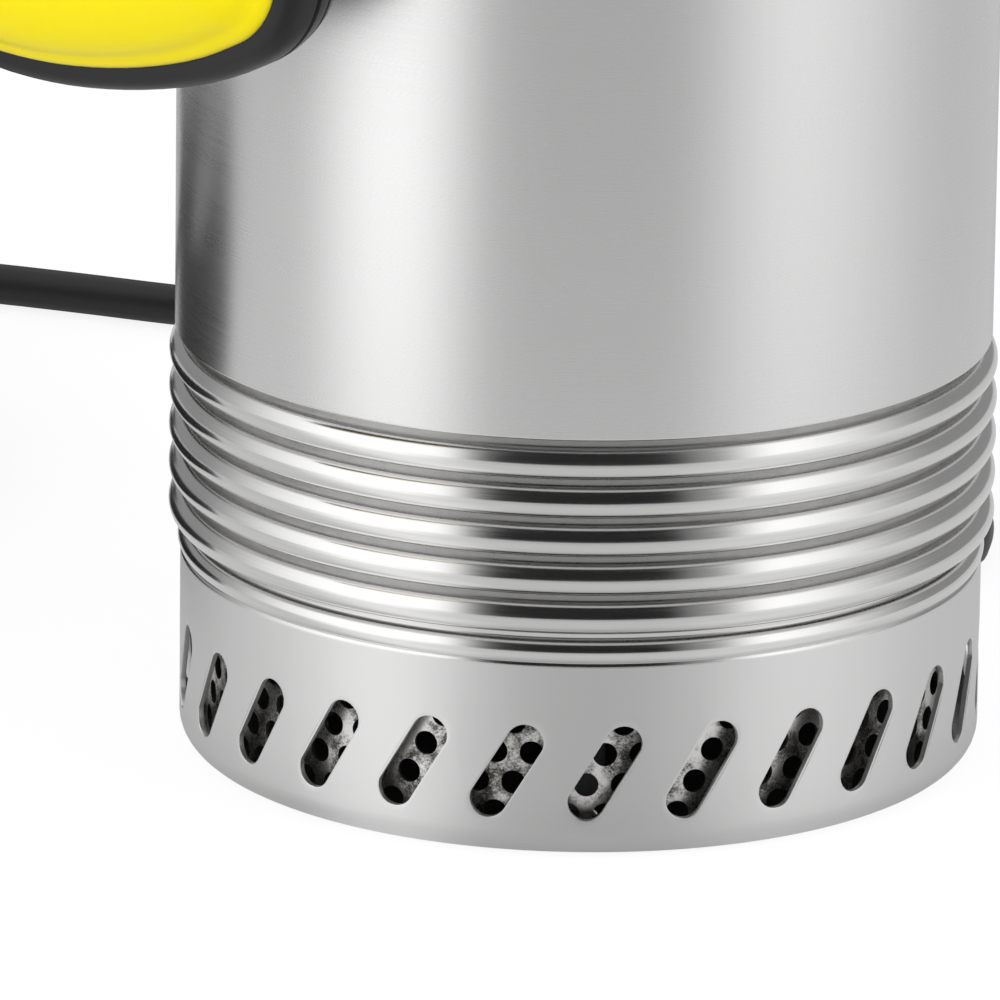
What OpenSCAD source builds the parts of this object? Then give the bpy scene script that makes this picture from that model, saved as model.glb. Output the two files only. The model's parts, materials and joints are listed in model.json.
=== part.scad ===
// Submersible sump pump: a multistage pump in a rolled stainless steel jacket
// over a slotted strainer, with a float switch and a mains cord.
// Origin at the centre of the base, +Z up, the front of the pump towards -Y.

/* [Jacket] */
// Outer radius of the jacket's plain wall
jacket_r = 75; // [72:0.5:82]
// Thickness of the jacket's sheet
jacket_wall = 1; // [0.8:0.1:1.4]
// Height of the jacket's top edge above the base
jacket_top = 330; // [328:1:360]
// Number of rolled beads
bead_count = 5; // [3:1:6]
// Height from one bead to the next
bead_pitch = 7.2; // [6.8:0.1:8]
// Radius of a bead's round section
bead_r = 3; // [2.6:0.1:3.2]
// How far a bead's crest stands out past the plain wall
bead_proud = 0.6; // [0.2:0.1:1]
// Height of the lowest bead's centre above the base
bead_low = 45.4; // [45:0.2:50]

/* [Strainer] */
// Outer radius of the strainer's wall
strainer_r = 73.4; // [72:0.2:74]
// Thickness of the strainer's sheet
strainer_wall = 1; // [0.8:0.1:1.4]
// Outer radius of the round edge at the bottom
strainer_corner = 5; // [3:0.5:6]
// Number of slots around the strainer
slot_count = 26; // [20:1:28]
// Width of a slot
slot_w = 6.8; // [5:0.2:8]
// Length of a slot from end to end
slot_len = 19.6; // [16:0.2:21]
// Lean of a slot from upright
slot_lean = 31; // [20:1:36]
// Height of the slots' centres above the base
slot_z = 16.2; // [15:0.2:18]
// Turn of the slot nearest the front
slot_turn = 3.9; // [0:0.1:10]
// Number of screws through the strainer's floor
screw_count = 4; // [3:1:6]
// Outer radius of the perforated sleeve
sleeve_r = 69.4; // [66:0.2:70]
// Thickness of the perforated sleeve
sleeve_wall = 0.8; // [0.6:0.1:1.2]
// Diameter of a hole in the sleeve
sleeve_hole_d = 4.4; // [3:0.2:4.6]
// Holes in one row of the sleeve
sleeve_row = 66; // [50:1:68]
// Rows of holes in the sleeve
sleeve_rows = 6; // [3:1:6]

/* [Pump stages] */
// Height of one stage
stage_h = 24; // [23:0.5:25]
// Wall of a stage casing
stage_wall = 2.5; // [2:0.1:3]
// Outer radius of an impeller
impeller_r = 51; // [44:0.5:54]
// Radius of an impeller's eye
eye_r = 17; // [15.5:0.5:19]
// Vanes of one impeller
vane_count = 6; // [4:1:8]

/* [Shaft and seal] */
// Radius of the shaft
shaft_r = 7; // [6:0.1:7.4]
// Height of the ring of windows above the last stage
window_h = 12; // [12:0.5:16]
// Height of the seal housing
housing_h = 20; // [18:0.5:24]
// Outer radius of the shaft bearings
bearing_r = 17.5; // [16:0.5:18]
// Height of a shaft bearing
bearing_h = 11; // [9:0.5:12]

/* [Motor] */
// Gap between a tie rod and the motor can
can_gap = 3.7; // [2.7:0.1:6.7]
// Thickness of the motor can
can_wall = 1.5; // [1:0.1:2]
// Height of the motor can
can_h = 126; // [124:1:130]
// Inner radius of the stator
stator_bore_r = 31.5; // [30:0.5:34]
// Height of the stator's stack of sheets
stack_h = 76; // [60:1:80]
// Air gap between stator and rotor
air_gap = 0.5; // [0.4:0.05:0.8]
// Number of stator slots
stator_slots = 24; // [12:6:36]
// Height of the dry chamber above the motor
chamber_h = 40; // [38:0.5:44]
// Radius of the run capacitor
capacitor_r = 15; // [12:0.5:16]

/* [Tie rods] */
// Radius of a tie rod
rod_r = 2.5; // [2:0.1:2.5]
// Gap between a tie rod and the stages
rod_gap = 0.7; // [0.4:0.1:1.2]
// Number of tie rods
rod_count = 4; // [3:1:6]

/* [Top cover] */
// Height of the cover above the jacket's top edge
cover_rise = 58; // [54:1:64]
// Wall of the cover
cover_wall = 3; // [2.5:0.1:3.5]
// Radius of the cover's rounded shoulder
shoulder_r = 22; // [18:0.5:26]
// Distance of the outlet's axis from the pump's axis
outlet_x = 36; // [34:0.5:38]
// Radius of the outlet's threaded bore
outlet_r = 15.15; // [13:0.05:15.5]
// Outer radius of the outlet socket
outlet_outer_r = 21; // [19:0.5:22]
// Height of the outlet socket above the cover
outlet_rise = 24; // [20:0.5:30]
// Height of the handle's grip above the cover
handle_rise = 62; // [56:1:72]
// Half of the distance between the handle's feet
handle_half = 46; // [44:1:48]
// Width of the handle
handle_w = 22; // [18:0.5:22]
// Thickness of the handle's grip
handle_t = 14; // [12:0.5:16]
// Radius of the rope eye in the handle
rope_eye_r = 4.5; // [3:0.5:5.5]

/* [Float switch] */
// Width of the float
float_w = 96; // [86:1:100]
// Depth of the float's front shell
float_front_t = 17; // [15:0.5:20]
// Depth of the float's rear shell
float_rear_t = 20; // [18:0.5:21]
// Height of the float's lowest point above the base
float_low = 139; // [110:1:145]
// Wall of the float's shells
float_wall = 2; // [1.6:0.1:2.4]
// Height of the point where the float's cable bends
pivot_z = 338; // [320:1:345]
// Radius of the float's cable
float_cable_r = 3.5; // [3:0.1:3.8]

/* [Mains cord] */
// Diameter of the mains cord
cord_d = 8.5; // [7:0.5:9]
// Radius of the coil at the middle of its turns
coil_mid_r = 76.5; // [70:0.5:80]
// Width of the coil's bundle of turns
coil_w = 34; // [30:0.5:40]
// Height of the coil's bundle of turns
coil_h = 43; // [38:0.5:44]

/* [Fits] */
// Radial clearance of a running fit on the shaft
run_fit = 0.04; // [0.02:0.01:0.08]
// Clearance between parts that are pushed together
push_fit = 0.05; // [0.03:0.01:0.1]
// Clearance around loose and moving parts
loose_fit = 0.3; // [0.25:0.05:0.5]

/* [Hidden] */
stage_count = 4;
$fn = 96;
through = 1;

steel = "gainsboro";
dark_steel = "silver";
black = "#262626";
yellow = "#f5d90a";
rubber = "#1c1c1c";
brass = "#c9a227";
copper = "#b8642d";

// Jacket and strainer levels
bead_c = jacket_r + bead_proud - bead_r;
valley_r = bead_c;
bead_top_z = bead_low + (bead_count - 1) * bead_pitch;
wall_start = bead_top_z + bead_r + 1.6;
jacket_low = bead_low - bead_r;
plate_z = jacket_low + jacket_wall;
flange_r = 64;
rim_bead_r = 2.4;
rim_bead_z = jacket_low - 3.7;
rim_bead_c = strainer_r + 0.5 - rim_bead_r;
neck_r = rim_bead_c;
wall_top = rim_bead_z - 2.2;

// Strainer fixings
pillar_r = 5;
pillar_circle_r = 50;
screw_head_r = 4;
screw_core_r = 2;
screw_head_h = 2.2;
dimple_h = 3.4;
screw_len = 18;

// The tie rods stand between the lower O-ring's groove and the stages
oring_r = 1.3;
rod_circle_r = valley_r - jacket_wall - 2 * oring_r - loose_fit - rod_r;
stage_r = rod_circle_r - rod_r - rod_gap;
can_r = rod_circle_r - rod_r - can_gap;
boss_r = 7.5;
chamber_gap = 1.7;
chamber_r = rod_circle_r - boss_r - chamber_gap;

// Intake plate and O-ring seats
plate_r = valley_r - jacket_wall - loose_fit;
plate_h = 10.6;
oring_z = bead_low + bead_pitch / 2;
stack_z = plate_z + plate_h;
stages_top = stack_z + stage_count * stage_h;
housing_z = stages_top + window_h;
can_z = housing_z + housing_h;
can_top = can_z + can_h;

// Impeller walls, and levels above the floor of its stage
hub_wall = 4;
hub_low = 1.2;
hub_top = 14;
eye_wall = 1.5;
eye_lip = 0.5;
eye_low = 0.8;
front_shroud_z = 3;
back_shroud_z = 11;
shroud_t = 2;
vane_t = 2;
deck_rise = 15;
window_count = 10;
window_w = 16;

// Motor levels
can_inner_r = can_r - can_wall;
stack_low = can_z + 24;
stack_top = stack_low + stack_h;
winding_h = 15;
winding_gap = 7;
cap_h = 8;
cap_z = can_top;
cap_boss_h = 16;
lower_bearing_z = can_z + 2;
seat_outer_r = shaft_r + 8.5;
seat_ring_h = 7;
upper_bearing_z = can_top - cap_boss_h + 3;
chamber_z = cap_z + cap_h;
chamber_wall = 2.5;
block_len = 44;
block_w = 16;
block_h = 16;
block_y = 18;
clamp_r = 2.6;
clamp_depth = 10;
capacitor_len = 66;
capacitor_y = -12;
tower_reach = rod_circle_r - 17.785;
tower_heading = 128.29;
tower_x = tower_reach * cos(tower_heading);
tower_y = tower_reach * sin(tower_heading);
tower_r = 9;
tower_bore_r = 5.2;
collar_t = 2.5;
collar_h = 9;

// Cover levels
cover_top = jacket_top + cover_rise;
skirt_r = jacket_r + 0.3 + cover_wall;
spigot_r = jacket_r - jacket_wall - loose_fit;
spigot_depth = 16;
skirt_depth = 8;
shell_inner_r = spigot_r - cover_wall;
pocket_r = 6;
boss_top = cover_top - shoulder_r + 6;
upper_oring_z = jacket_top - 9;

// Rods
nut_h = 5;
rod_low = plate_z + 1.5;
rod_top = boss_top + nut_h + 3;

// Outlet and valve
outlet_low = cover_top + 2;
outlet_flange_h = 6;
outlet_spigot_h = 5;
outlet_spigot_wall = 1.9;
outlet_top = cover_top + outlet_rise;
seat_z = cover_top - 22;
seat_h = 3;
seat_bore_r = 10;
chimney_r = 18.5;
poppet_r = 13;
poppet_t = 2.5;
stem_r = 2.5;
guide_z = seat_z + 15.8;
guide_h = 3;

// Handle feet
foot_z = cover_top + 3;
foot_t = 6;
foot_len = 11;
leg_t = 9;
handle_screw_r = 2;
handle_screw_len = 11;
handle_head_r = 3.9;
handle_head_h = 2.4;

// Glands
gland_h = 9;
gland_nut_h = 11;
gland_r = 10.5;
relief_h = 32;
relief_low_r = 6.6;
relief_top_r = 5;
gland_top = cover_top + gland_h + gland_nut_h;
relief_top_z = gland_top + relief_h;
float_gland_r = 8.5;
float_gland_h = 12;
float_gland_at = rod_circle_r - 22.2;

// Float
float_turn = -35;
float_in = jacket_r + bead_proud + 4.5 + float_rear_t;
float_aside = -31;
float_at = [float_in * sin(float_turn) + float_aside * cos(float_turn),
            -float_in * cos(float_turn) + float_aside * sin(float_turn)];
float_reach = norm(float_at);
float_heading = atan2(float_at[1], float_at[0]);
float_gland_xy = [float_gland_at * cos(float_heading), float_gland_at * sin(float_heading)];
float_half_h = 60;
float_mid = float_low + float_half_h;
float_corner_x = float_w / 2 - float_rear_t;
float_corner_z = 36;
float_chin_z = float_half_h - float_rear_t;
seam_y = -3;
boot_h = 22;
boot_z = float_mid + float_corner_z + float_rear_t - 1.5;
boot_r = float_cable_r + 3;
lead_low = pivot_z + 5.5;
lead_bend_r = (float_reach - float_gland_at) / 2;
lead_turn_z = cover_top + 16;
clip_h = 15;
clip_z = pivot_z - 5;
prong_t = 4;
prong_len = 8;
arm_w = 12;
ball_r = 6.2;
guide_bore_r = ball_r + loose_fit;
guide_wall = 1.4;
guide_floor = 2;
guide_fin_h = 8;
ball_y = 1;
ball_guide_h = 42;
ball_guide_z = float_low + 27;
ball_z = ball_guide_z + guide_floor + ball_r;

// Cord route: from the gland up and over to the back, down to the floor,
// round behind the right-hand side and away past the left
cord_r = cord_d / 2;
route = [[tower_x, tower_y, relief_top_z], [tower_x, tower_y, relief_top_z + 6],
  [-29, 43, 465], [-26, 56, 479], [-21, 75, 484],
  [-16, 94, 479], [-13, 107, 465], [-12, 112, 446], [-12, 114, 415], [-11, 114, 380], [-11, 113, 350],
  [-10, 112, 320], [-9, 111, 290], [-8, 110, 260], [-8, 109, 230], [-7, 108, 200],
  [-6, 107, 170], [-5, 106, 140], [-4, 105, 110], [-2, 104, 80], [1, 103, 55],
  [7, 101, 33], [17, 99, 16], [30, 96, 7], [43, 93, 4.5], [55, 92, 4.5], [66, 95, 4.5],
  [73, 103, 4.5], [75, 115, 4.5], [75, 131, 4.5], [72, 152, 4.5], [64, 177, 4.5], [50, 201, 4.5],
  [30, 220, 4.5], [8, 233, 4.5], [-16, 243, 4.5], [-40, 251, 4.5], [-62, 258, 4.5],
  [-84, 265, 4.5], [-105, 273, 4.5], [-126, 280, 4.5], [-148, 284, 4.5], [-170, 285, 4.5],
  [-192, 281, 4.5], [-214, 273, 4.5], [-236, 262, 4.5], [-256, 249, 4.5], [-273, 236, 4.5]];
coil_at = [-216, 156];
coil_lift = 2;
tail = [[-136, 92, 49.5], [-137, 104, 49.5], [-138, 116, 51], [-139, 128, 55],
  [-141, 140, 60], [-144, 152, 63.5], [-146, 158, 64], [-148, 164, 64]];
plug_from = tail[len(tail) - 1];
plug_back = plug_from - tail[len(tail) - 2];
plug_heading = atan2(plug_back[1], plug_back[0]);
plug_r = 18.5;
plug_len = 36;
pin_r = 2.4;
pin_len = 19;
pin_gap = 19;

// Rectangle with rounded corners of radius r, from [0, 0] to [w, h], for turning
module turned_block(r, z0, z1, round_r) {
  translate([0, z0]) square([r, z1 - z0 - round_r]);
  translate([0, z0]) square([r - round_r, z1 - z0]);
  translate([r - round_r, z1 - round_r]) circle(round_r);
}

// Band of a turned profile between two radii and two heights
module band(r0, r1, z0, z1) {
  translate([r0, z0]) square([r1 - r0, z1 - z0]);
}

// Solid ring with a round section
module ring(r, section_r, z) {
  rotate_extrude() translate([r, z]) circle(section_r);
}

// Copies at equal turns around the pump's axis, at a radius
module around(count, r, start = 45) {
  for (i = [0:count - 1])
    rotate([0, 0, start + i * 360 / count]) translate([r, 0, 0]) children();
}

// Tube swept along points, as one closed mesh with flat round ends
function unit(v) = v / norm(v);
function heading(p, i) = unit(p[min(i + 1, len(p) - 1)] - p[max(i - 1, 0)]);
function side_of(t, hint) = unit(hint - (hint * t) * t);
function sides(p, i = 0, last = [1, 0, 0]) = i >= len(p) ? [] :
  let (s = side_of(heading(p, i), last)) concat([s], sides(p, i + 1, s));
module swept(p, r, n = 10) {
  s = sides(p);
  rings = [for (i = [0:len(p) - 1]) let (t = heading(p, i), u = s[i], v = cross(t, u))
    for (k = [0:n - 1]) p[i] + r * (cos(360 * k / n) * u + sin(360 * k / n) * v)];
  walls = [for (i = [0:len(p) - 2], k = [0:n - 1]) let (a = i * n + k, b = i * n + (k + 1) % n)
    [a, a + n, b + n, b]];
  ends = [[for (k = [0:n - 1]) k], [for (k = [n - 1:-1:0]) (len(p) - 1) * n + k]];
  polyhedron(rings, concat(walls, ends));
}

// ---- strainer ----

// Outer profile of the strainer cup, grown inwards by an offset
module cup_profile(inset) {
  corner = strainer_corner - inset;
  difference() {
    union() {
      translate([0, wall_top]) mirror([0, 1])
        turned_block(strainer_r - inset, 0, wall_top - inset, corner);
      band(0, strainer_r - 0.4 - inset, wall_top - 1, rim_bead_z);
      translate([rim_bead_c, rim_bead_z]) circle(rim_bead_r - inset);
      band(0, neck_r - inset, wall_top, jacket_low - inset);
    }
    translate([-strainer_r, -strainer_r]) square([strainer_r, 3 * strainer_r]);
  }
}

// Round-ended slot cut, facing the front
module slot_cut() {
  half = (slot_len - slot_w) / 2;
  rotate([90, 0, 0]) linear_extrude(strainer_r + through) rotate(-slot_lean) {
    square([slot_w, 2 * half], center = true);
    for (side = [-1, 1]) translate([0, side * half]) circle(slot_w / 2);
  }
}

// Slotted steel cup that stands on the floor and keeps stones out
module strainer_shell() {
  color(steel) difference() {
    union() {
      difference() {
        rotate_extrude() difference() {
          cup_profile(0);
          cup_profile(strainer_wall);
          band(0, flange_r, plate_z - 4, plate_z + 1);
        }
        for (i = [0:slot_count - 1])
          rotate([0, 0, slot_turn + i * 360 / slot_count]) intersection() {
            translate([0, 0, slot_z]) slot_cut();
            translate([-15, -strainer_r - through, 0]) cube([30, 20, wall_top]);
          }
      }
      around(screw_count, pillar_circle_r, 0)
        cylinder(dimple_h, screw_head_r + 2.6, screw_core_r + 2.2);
    }
    around(screw_count, pillar_circle_r, 0) {
      translate([0, 0, -0.01]) cylinder(screw_head_h + 0.2, screw_head_r + 0.4, screw_core_r + 0.3);
      cylinder(dimple_h + through, screw_core_r + 0.25, screw_core_r + 0.25);
    }
  }
}

// Perforated steel sleeve inside the strainer
module filter_sleeve() {
  row_pitch = (2 * PI * sleeve_r / sleeve_row) * sin(60);
  low = strainer_wall + 0.2;
  high = jacket_low - strainer_wall;
  first = (low + high - (sleeve_rows - 1) * row_pitch) / 2;
  color(dark_steel) difference() {
    translate([0, 0, low]) cylinder(high - low, sleeve_r, sleeve_r);
    translate([0, 0, -through])
      cylinder(high + 2 * through, sleeve_r - sleeve_wall, sleeve_r - sleeve_wall);
    for (row = [0:sleeve_rows - 1], i = [0:sleeve_row - 1])
      rotate([0, 0, (i + 0.25 + (row % 2) / 2) * 360 / sleeve_row])
        translate([sleeve_r - 3, 0, first + row * row_pitch]) rotate([0, 90, 0])
          cylinder(6, sleeve_hole_d / 2, sleeve_hole_d / 2, $fn = 24);
  }
}

// Countersunk screws up through the strainer's floor into the intake plate
module strainer_screws() {
  color(dark_steel) around(screw_count, pillar_circle_r, 0) difference() {
    union() {
      translate([0, 0, 0.2]) cylinder(screw_head_h - 0.2, screw_head_r, screw_core_r);
      translate([0, 0, screw_head_h - 0.3]) cylinder(screw_len, screw_core_r, screw_core_r);
    }
    for (turn = [0, 90]) rotate([0, 0, turn])
      translate([-2, -0.45, 0]) cube([4, 0.9, 1.2]);
  }
}

// Bottom casting: holds the strainer, the tie rods, the lower O-ring and the first eye
module intake_plate() {
  eye_boss_h = 5;
  color("dimgray") difference() {
    union() {
      rotate_extrude() difference() {
        union() {
          band(eye_r + 1, plate_r, plate_z, stack_z);
          band(eye_r + 1, eye_r + 4, plate_z - eye_boss_h, plate_z);
        }
        band(valley_r - jacket_wall - push_fit - 2 * oring_r, plate_r + 1,
          oring_z - oring_r - 0.2, oring_z + oring_r + 0.2);
      }
      around(screw_count, pillar_circle_r, 0)
        translate([0, 0, dimple_h]) cylinder(plate_z + 1 - dimple_h, pillar_r, pillar_r);
    }
    around(screw_count, pillar_circle_r, 0)
      cylinder(screw_head_h + screw_len, screw_core_r + push_fit, screw_core_r + push_fit);
    around(rod_count, rod_circle_r)
      translate([0, 0, rod_low]) cylinder(plate_h, rod_r + push_fit, rod_r + push_fit);
  }
}

module lower_oring() {
  color(rubber) ring(valley_r - jacket_wall - push_fit - oring_r, oring_r, oring_z);
}

// ---- jacket ----

module jacket_profile(inset) {
  for (i = [0:bead_count - 1])
    translate([bead_c, bead_low + i * bead_pitch]) circle(bead_r - inset);
  band(0, valley_r - inset, jacket_low + inset, wall_start + 2);
  band(0, jacket_r - inset, wall_start + inset, jacket_top + (inset > 0 ? through : 0));
}

// Rolled sheet tube with beads near its foot and a lip turned in under the plate
module jacket() {
  color(steel) rotate_extrude() difference() {
    jacket_profile(0);
    jacket_profile(jacket_wall);
    band(-1, flange_r, 0, jacket_top + through);
    translate([-2 * jacket_r, 0]) square([2 * jacket_r, jacket_top]);
  }
}

// ---- pump stages ----

// Cup that guides water from one impeller up into the next
module stage_casing(index) {
  z0 = stack_z + index * stage_h;
  deck_z = z0 + deck_rise;
  deck_r = stage_r - stage_wall - 5;
  color("darkslategray") {
    difference() {
      union() {
        rotate_extrude() {
          band(stage_r - stage_wall, stage_r, z0, z0 + stage_h);
          band(eye_r, stage_r - 1, z0 + stage_h - 2, z0 + stage_h);
          band(shaft_r + 5.5, deck_r, deck_z, deck_z + 2);
        }
        for (i = [0:7]) rotate([0, 0, i * 45 + 10])
          translate([eye_r + 8, -1, deck_z + 1]) cube([stage_r - eye_r - 9, 2, stage_h - 17]);
      }
    }
  }
}
module stage_casing_1() { stage_casing(0); }
module stage_casing_2() { stage_casing(1); }
module stage_casing_3() { stage_casing(2); }
module stage_casing_4() { stage_casing(3); }

// Closed impeller: two shrouds, curved vanes and a hub on the shaft
module impeller(index) {
  z0 = stack_z + index * stage_h;
  hub_r = shaft_r + hub_wall;
  vane_r = impeller_r * 0.47;
  color("goldenrod") difference() {
    union() {
      rotate_extrude() {
        band(0, hub_r, z0 + hub_low, z0 + hub_top);
        band(0, impeller_r, z0 + back_shroud_z, z0 + back_shroud_z + shroud_t);
        band(eye_r - eye_wall, impeller_r, z0 + front_shroud_z, z0 + front_shroud_z + shroud_t);
        band(eye_r - eye_wall, eye_r + eye_lip, z0 + eye_low, z0 + front_shroud_z + shroud_t);
      }
      for (i = [0:vane_count - 1]) rotate([0, 0, i * 360 / vane_count])
        intersection() {
          translate([impeller_r * 0.55, 0, z0 + front_shroud_z + shroud_t / 2]) difference() {
            cylinder(back_shroud_z - front_shroud_z, vane_r, vane_r);
            translate([0, 0, -through])
              cylinder(stage_h, vane_r - vane_t, vane_r - vane_t);
          }
          translate([hub_r - shroud_t / 2, 0, z0])
            cube([impeller_r - hub_r, impeller_r, stage_h]);
          translate([0, 0, z0])
            cylinder(stage_h, impeller_r - vane_t / 4, impeller_r - vane_t / 4);
        }
    }
    translate([0, 0, z0 - 1]) cylinder(stage_h, shaft_r + run_fit, shaft_r + run_fit);
  }
}
module impeller_1() { impeller(0); }
module impeller_2() { impeller(1); }
module impeller_3() { impeller(2); }
module impeller_4() { impeller(3); }

// Distance sleeves between the impeller hubs
module shaft_sleeves() {
  color(dark_steel) for (i = [0:stage_count - 1]) rotate_extrude()
    band(shaft_r + run_fit, shaft_r + hub_wall - shroud_t / 4, stack_z + i * stage_h + hub_top
      + push_fit, stack_z + (i + 1) * stage_h + (i < stage_count - 1 ? hub_low : 0) - push_fit);
}

// Ring of windows that lets the water out around the motor
module window_ring() {
  color("darkslategray") difference() {
    rotate_extrude() band(stage_r - 2 * stage_wall, stage_r, stages_top, housing_z);
    for (i = [0:window_count - 1]) rotate([0, 0, i * 360 / window_count])
      translate([0, -window_w / 2, stages_top + stage_wall])
        cube([stage_r + through, window_w, window_h - 2 * stage_wall]);
  }
}

// ---- seal and bearings ----

// Housing of the shaft seal and the lower bearing, with a closed oil chamber
module seal_housing() {
  boss_outer_r = bearing_r + 5;
  color("darkgray") rotate_extrude() difference() {
    union() {
      band(0, stage_r, housing_z, can_z);
      band(0, can_inner_r - push_fit, can_z - 0.5, can_z + 6);
      band(0, boss_outer_r, can_z, lower_bearing_z + bearing_h);
    }
    band(-1, shaft_r + 1.5, housing_z - 1, can_z + 30);
    band(-1, seat_outer_r + push_fit, housing_z - 1, housing_z + seat_ring_h);
    band(-1, bearing_r + push_fit, lower_bearing_z, can_z + 30);
    band(shaft_r + 14, stage_r - 9, housing_z + 11, can_z - 4);
  }
}

module seal_seat() {
  color("ivory") rotate_extrude()
    band(shaft_r + 1.5, seat_outer_r, housing_z + 0.3, housing_z + seat_ring_h);
}

// Turning half of the shaft seal: a carrier, a bellows and a carbon face
module seal_rotor() {
  low = stages_top + 0.1;
  color("#3a3a3a") rotate_extrude() {
    band(shaft_r + run_fit, shaft_r + 7, low, low + 3);
    band(shaft_r + run_fit, shaft_r + 4, low, housing_z);
    band(shaft_r + run_fit, shaft_r + 6, housing_z - 4, housing_z + 0.25);
  }
}

// Ball bearing drawn as two rings, a shield and the bore
module bearing(z) {
  rotate_extrude() difference() {
    band(shaft_r + run_fit, bearing_r, z, z + bearing_h);
    band(shaft_r + 3, bearing_r - 3, z - 1, z + 0.8);
    band(shaft_r + 3, bearing_r - 3, z + bearing_h - 0.8, z + bearing_h + 1);
  }
}
module lower_bearing() { color("silver") bearing(lower_bearing_z); }
module upper_bearing() { color("silver") bearing(upper_bearing_z); }

// ---- motor ----

module motor_can() {
  color("lightgray") rotate_extrude() band(can_inner_r, can_r, can_z, can_top);
}

module stator_core() {
  slot_depth = 14;
  color("slategray") difference() {
    translate([0, 0, stack_low]) cylinder(stack_h, can_inner_r - push_fit, can_inner_r - push_fit);
    translate([0, 0, stack_low - 1]) cylinder(stack_h + 2, stator_bore_r, stator_bore_r);
    for (i = [0:stator_slots - 1]) rotate([0, 0, i * 360 / stator_slots])
      translate([stator_bore_r + 1.5, -1.8, stack_low - 1]) cube([slot_depth, 3.6, stack_h + 2]);
  }
}

// Copper end turns above and below the stack
module stator_windings() {
  color(copper) for (z = [stack_low - winding_h, stack_top]) rotate_extrude() difference() {
    band(stator_bore_r + 2, can_inner_r - winding_gap, z, z + winding_h);
    band(stator_bore_r + 8, stator_bore_r + 14, z > stack_low ? z + winding_h - 2 : z - 1,
      z > stack_low ? z + winding_h + 1 : z + 2);
  }
}

module rotor_core() {
  ring_h = 4;
  r = stator_bore_r - air_gap;
  color("gray") difference() {
    union() {
      translate([0, 0, stack_low]) cylinder(stack_h, r, r);
      translate([0, 0, stack_low - ring_h]) cylinder(stack_h + 2 * ring_h, r - 4, r - 4);
    }
    translate([0, 0, stack_low - 2 * ring_h])
      cylinder(stack_h + 4 * ring_h, shaft_r + run_fit, shaft_r + run_fit);
  }
}

module pump_shaft() {
  low = plate_z + 2;
  high = upper_bearing_z + bearing_h + 1;
  color(steel) translate([0, 0, low]) {
    cylinder(high - low - 1, shaft_r, shaft_r);
    translate([0, 0, high - low - 1]) cylinder(1, shaft_r, shaft_r - 1);
  }
}

module shaft_nut() {
  color(dark_steel) difference() {
    translate([0, 0, plate_z + 4]) cylinder(stack_z + 1 - plate_z - 4, shaft_r + 4, shaft_r + 4, $fn = 6);
    translate([0, 0, plate_z]) cylinder(plate_h + 4, shaft_r + run_fit, shaft_r + run_fit);
  }
}

// Upper end shield with the pocket of the upper bearing
module motor_cap() {
  color("darkgray") rotate_extrude() difference() {
    union() {
      band(0, can_r, cap_z, cap_z + cap_h);
      band(0, can_inner_r - push_fit, cap_z - 5, cap_z + 0.5);
      band(0, bearing_r + 4, cap_z - cap_boss_h, cap_z);
    }
    band(-1, bearing_r + push_fit, cap_z - cap_boss_h - 1, upper_bearing_z + bearing_h);
    band(-1, bearing_r - 3, upper_bearing_z, upper_bearing_z + bearing_h + 2);
  }
}

// Dry chamber over the motor, with a tower for the cables
module dry_chamber() {
  top = chamber_z + chamber_h;
  color(black) difference() {
    union() {
      rotate_extrude() difference() {
        band(0, chamber_r, chamber_z, top);
        band(-1, chamber_r - chamber_wall, chamber_z - 1, top - chamber_wall);
      }
      for (at = [[tower_x, tower_y], float_gland_xy]) translate([at[0], at[1], top - 0.5])
        cylinder(cover_top - cover_wall - 2 - top + 0.5, tower_r, tower_r);
    }
    for (at = [[tower_x, tower_y], float_gland_xy]) translate([at[0], at[1], top - 5])
      cylinder(cover_top - top + 10, tower_bore_r, tower_bore_r);
  }
}

// Run capacitor lying in the dry chamber
module capacitor() {
  color("whitesmoke") translate([-capacitor_len / 2, capacitor_y, chamber_z + capacitor_r])
    rotate([0, 90, 0]) {
      cylinder(capacitor_len, capacitor_r, capacitor_r);
      translate([0, 0, capacitor_len]) cylinder(shroud_t, capacitor_r * 0.7, capacitor_r * 0.7);
    }
}

module terminal_block() {
  pitch = block_len / 4;
  color("ivory") translate([-block_len / 2 + 2, block_y, chamber_z]) difference() {
    cube([block_len, block_w, block_h]);
    for (i = [0:3]) translate([(i + 0.5) * pitch, block_w / 2, block_h - clamp_depth])
      cylinder(clamp_depth + through, clamp_r, clamp_r);
  }
}

// ---- tie rods and top cover ----

module tie_rods() {
  color(dark_steel) around(rod_count, rod_circle_r)
    translate([0, 0, rod_low]) cylinder(rod_top - rod_low, rod_r, rod_r);
}

module cap_nuts() {
  color(steel) around(rod_count, rod_circle_r) difference() {
    translate([0, 0, boss_top]) union() {
      cylinder(0.8, 5.6, 5.6);
      cylinder(nut_h, 5, 5, $fn = 6);
      cylinder(nut_h + 4.4, 3.8, 3.8);
    }
    translate([0, 0, boss_top - 1]) cylinder(nut_h + 4.1, rod_r + push_fit, rod_r + push_fit);
  }
}

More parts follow.
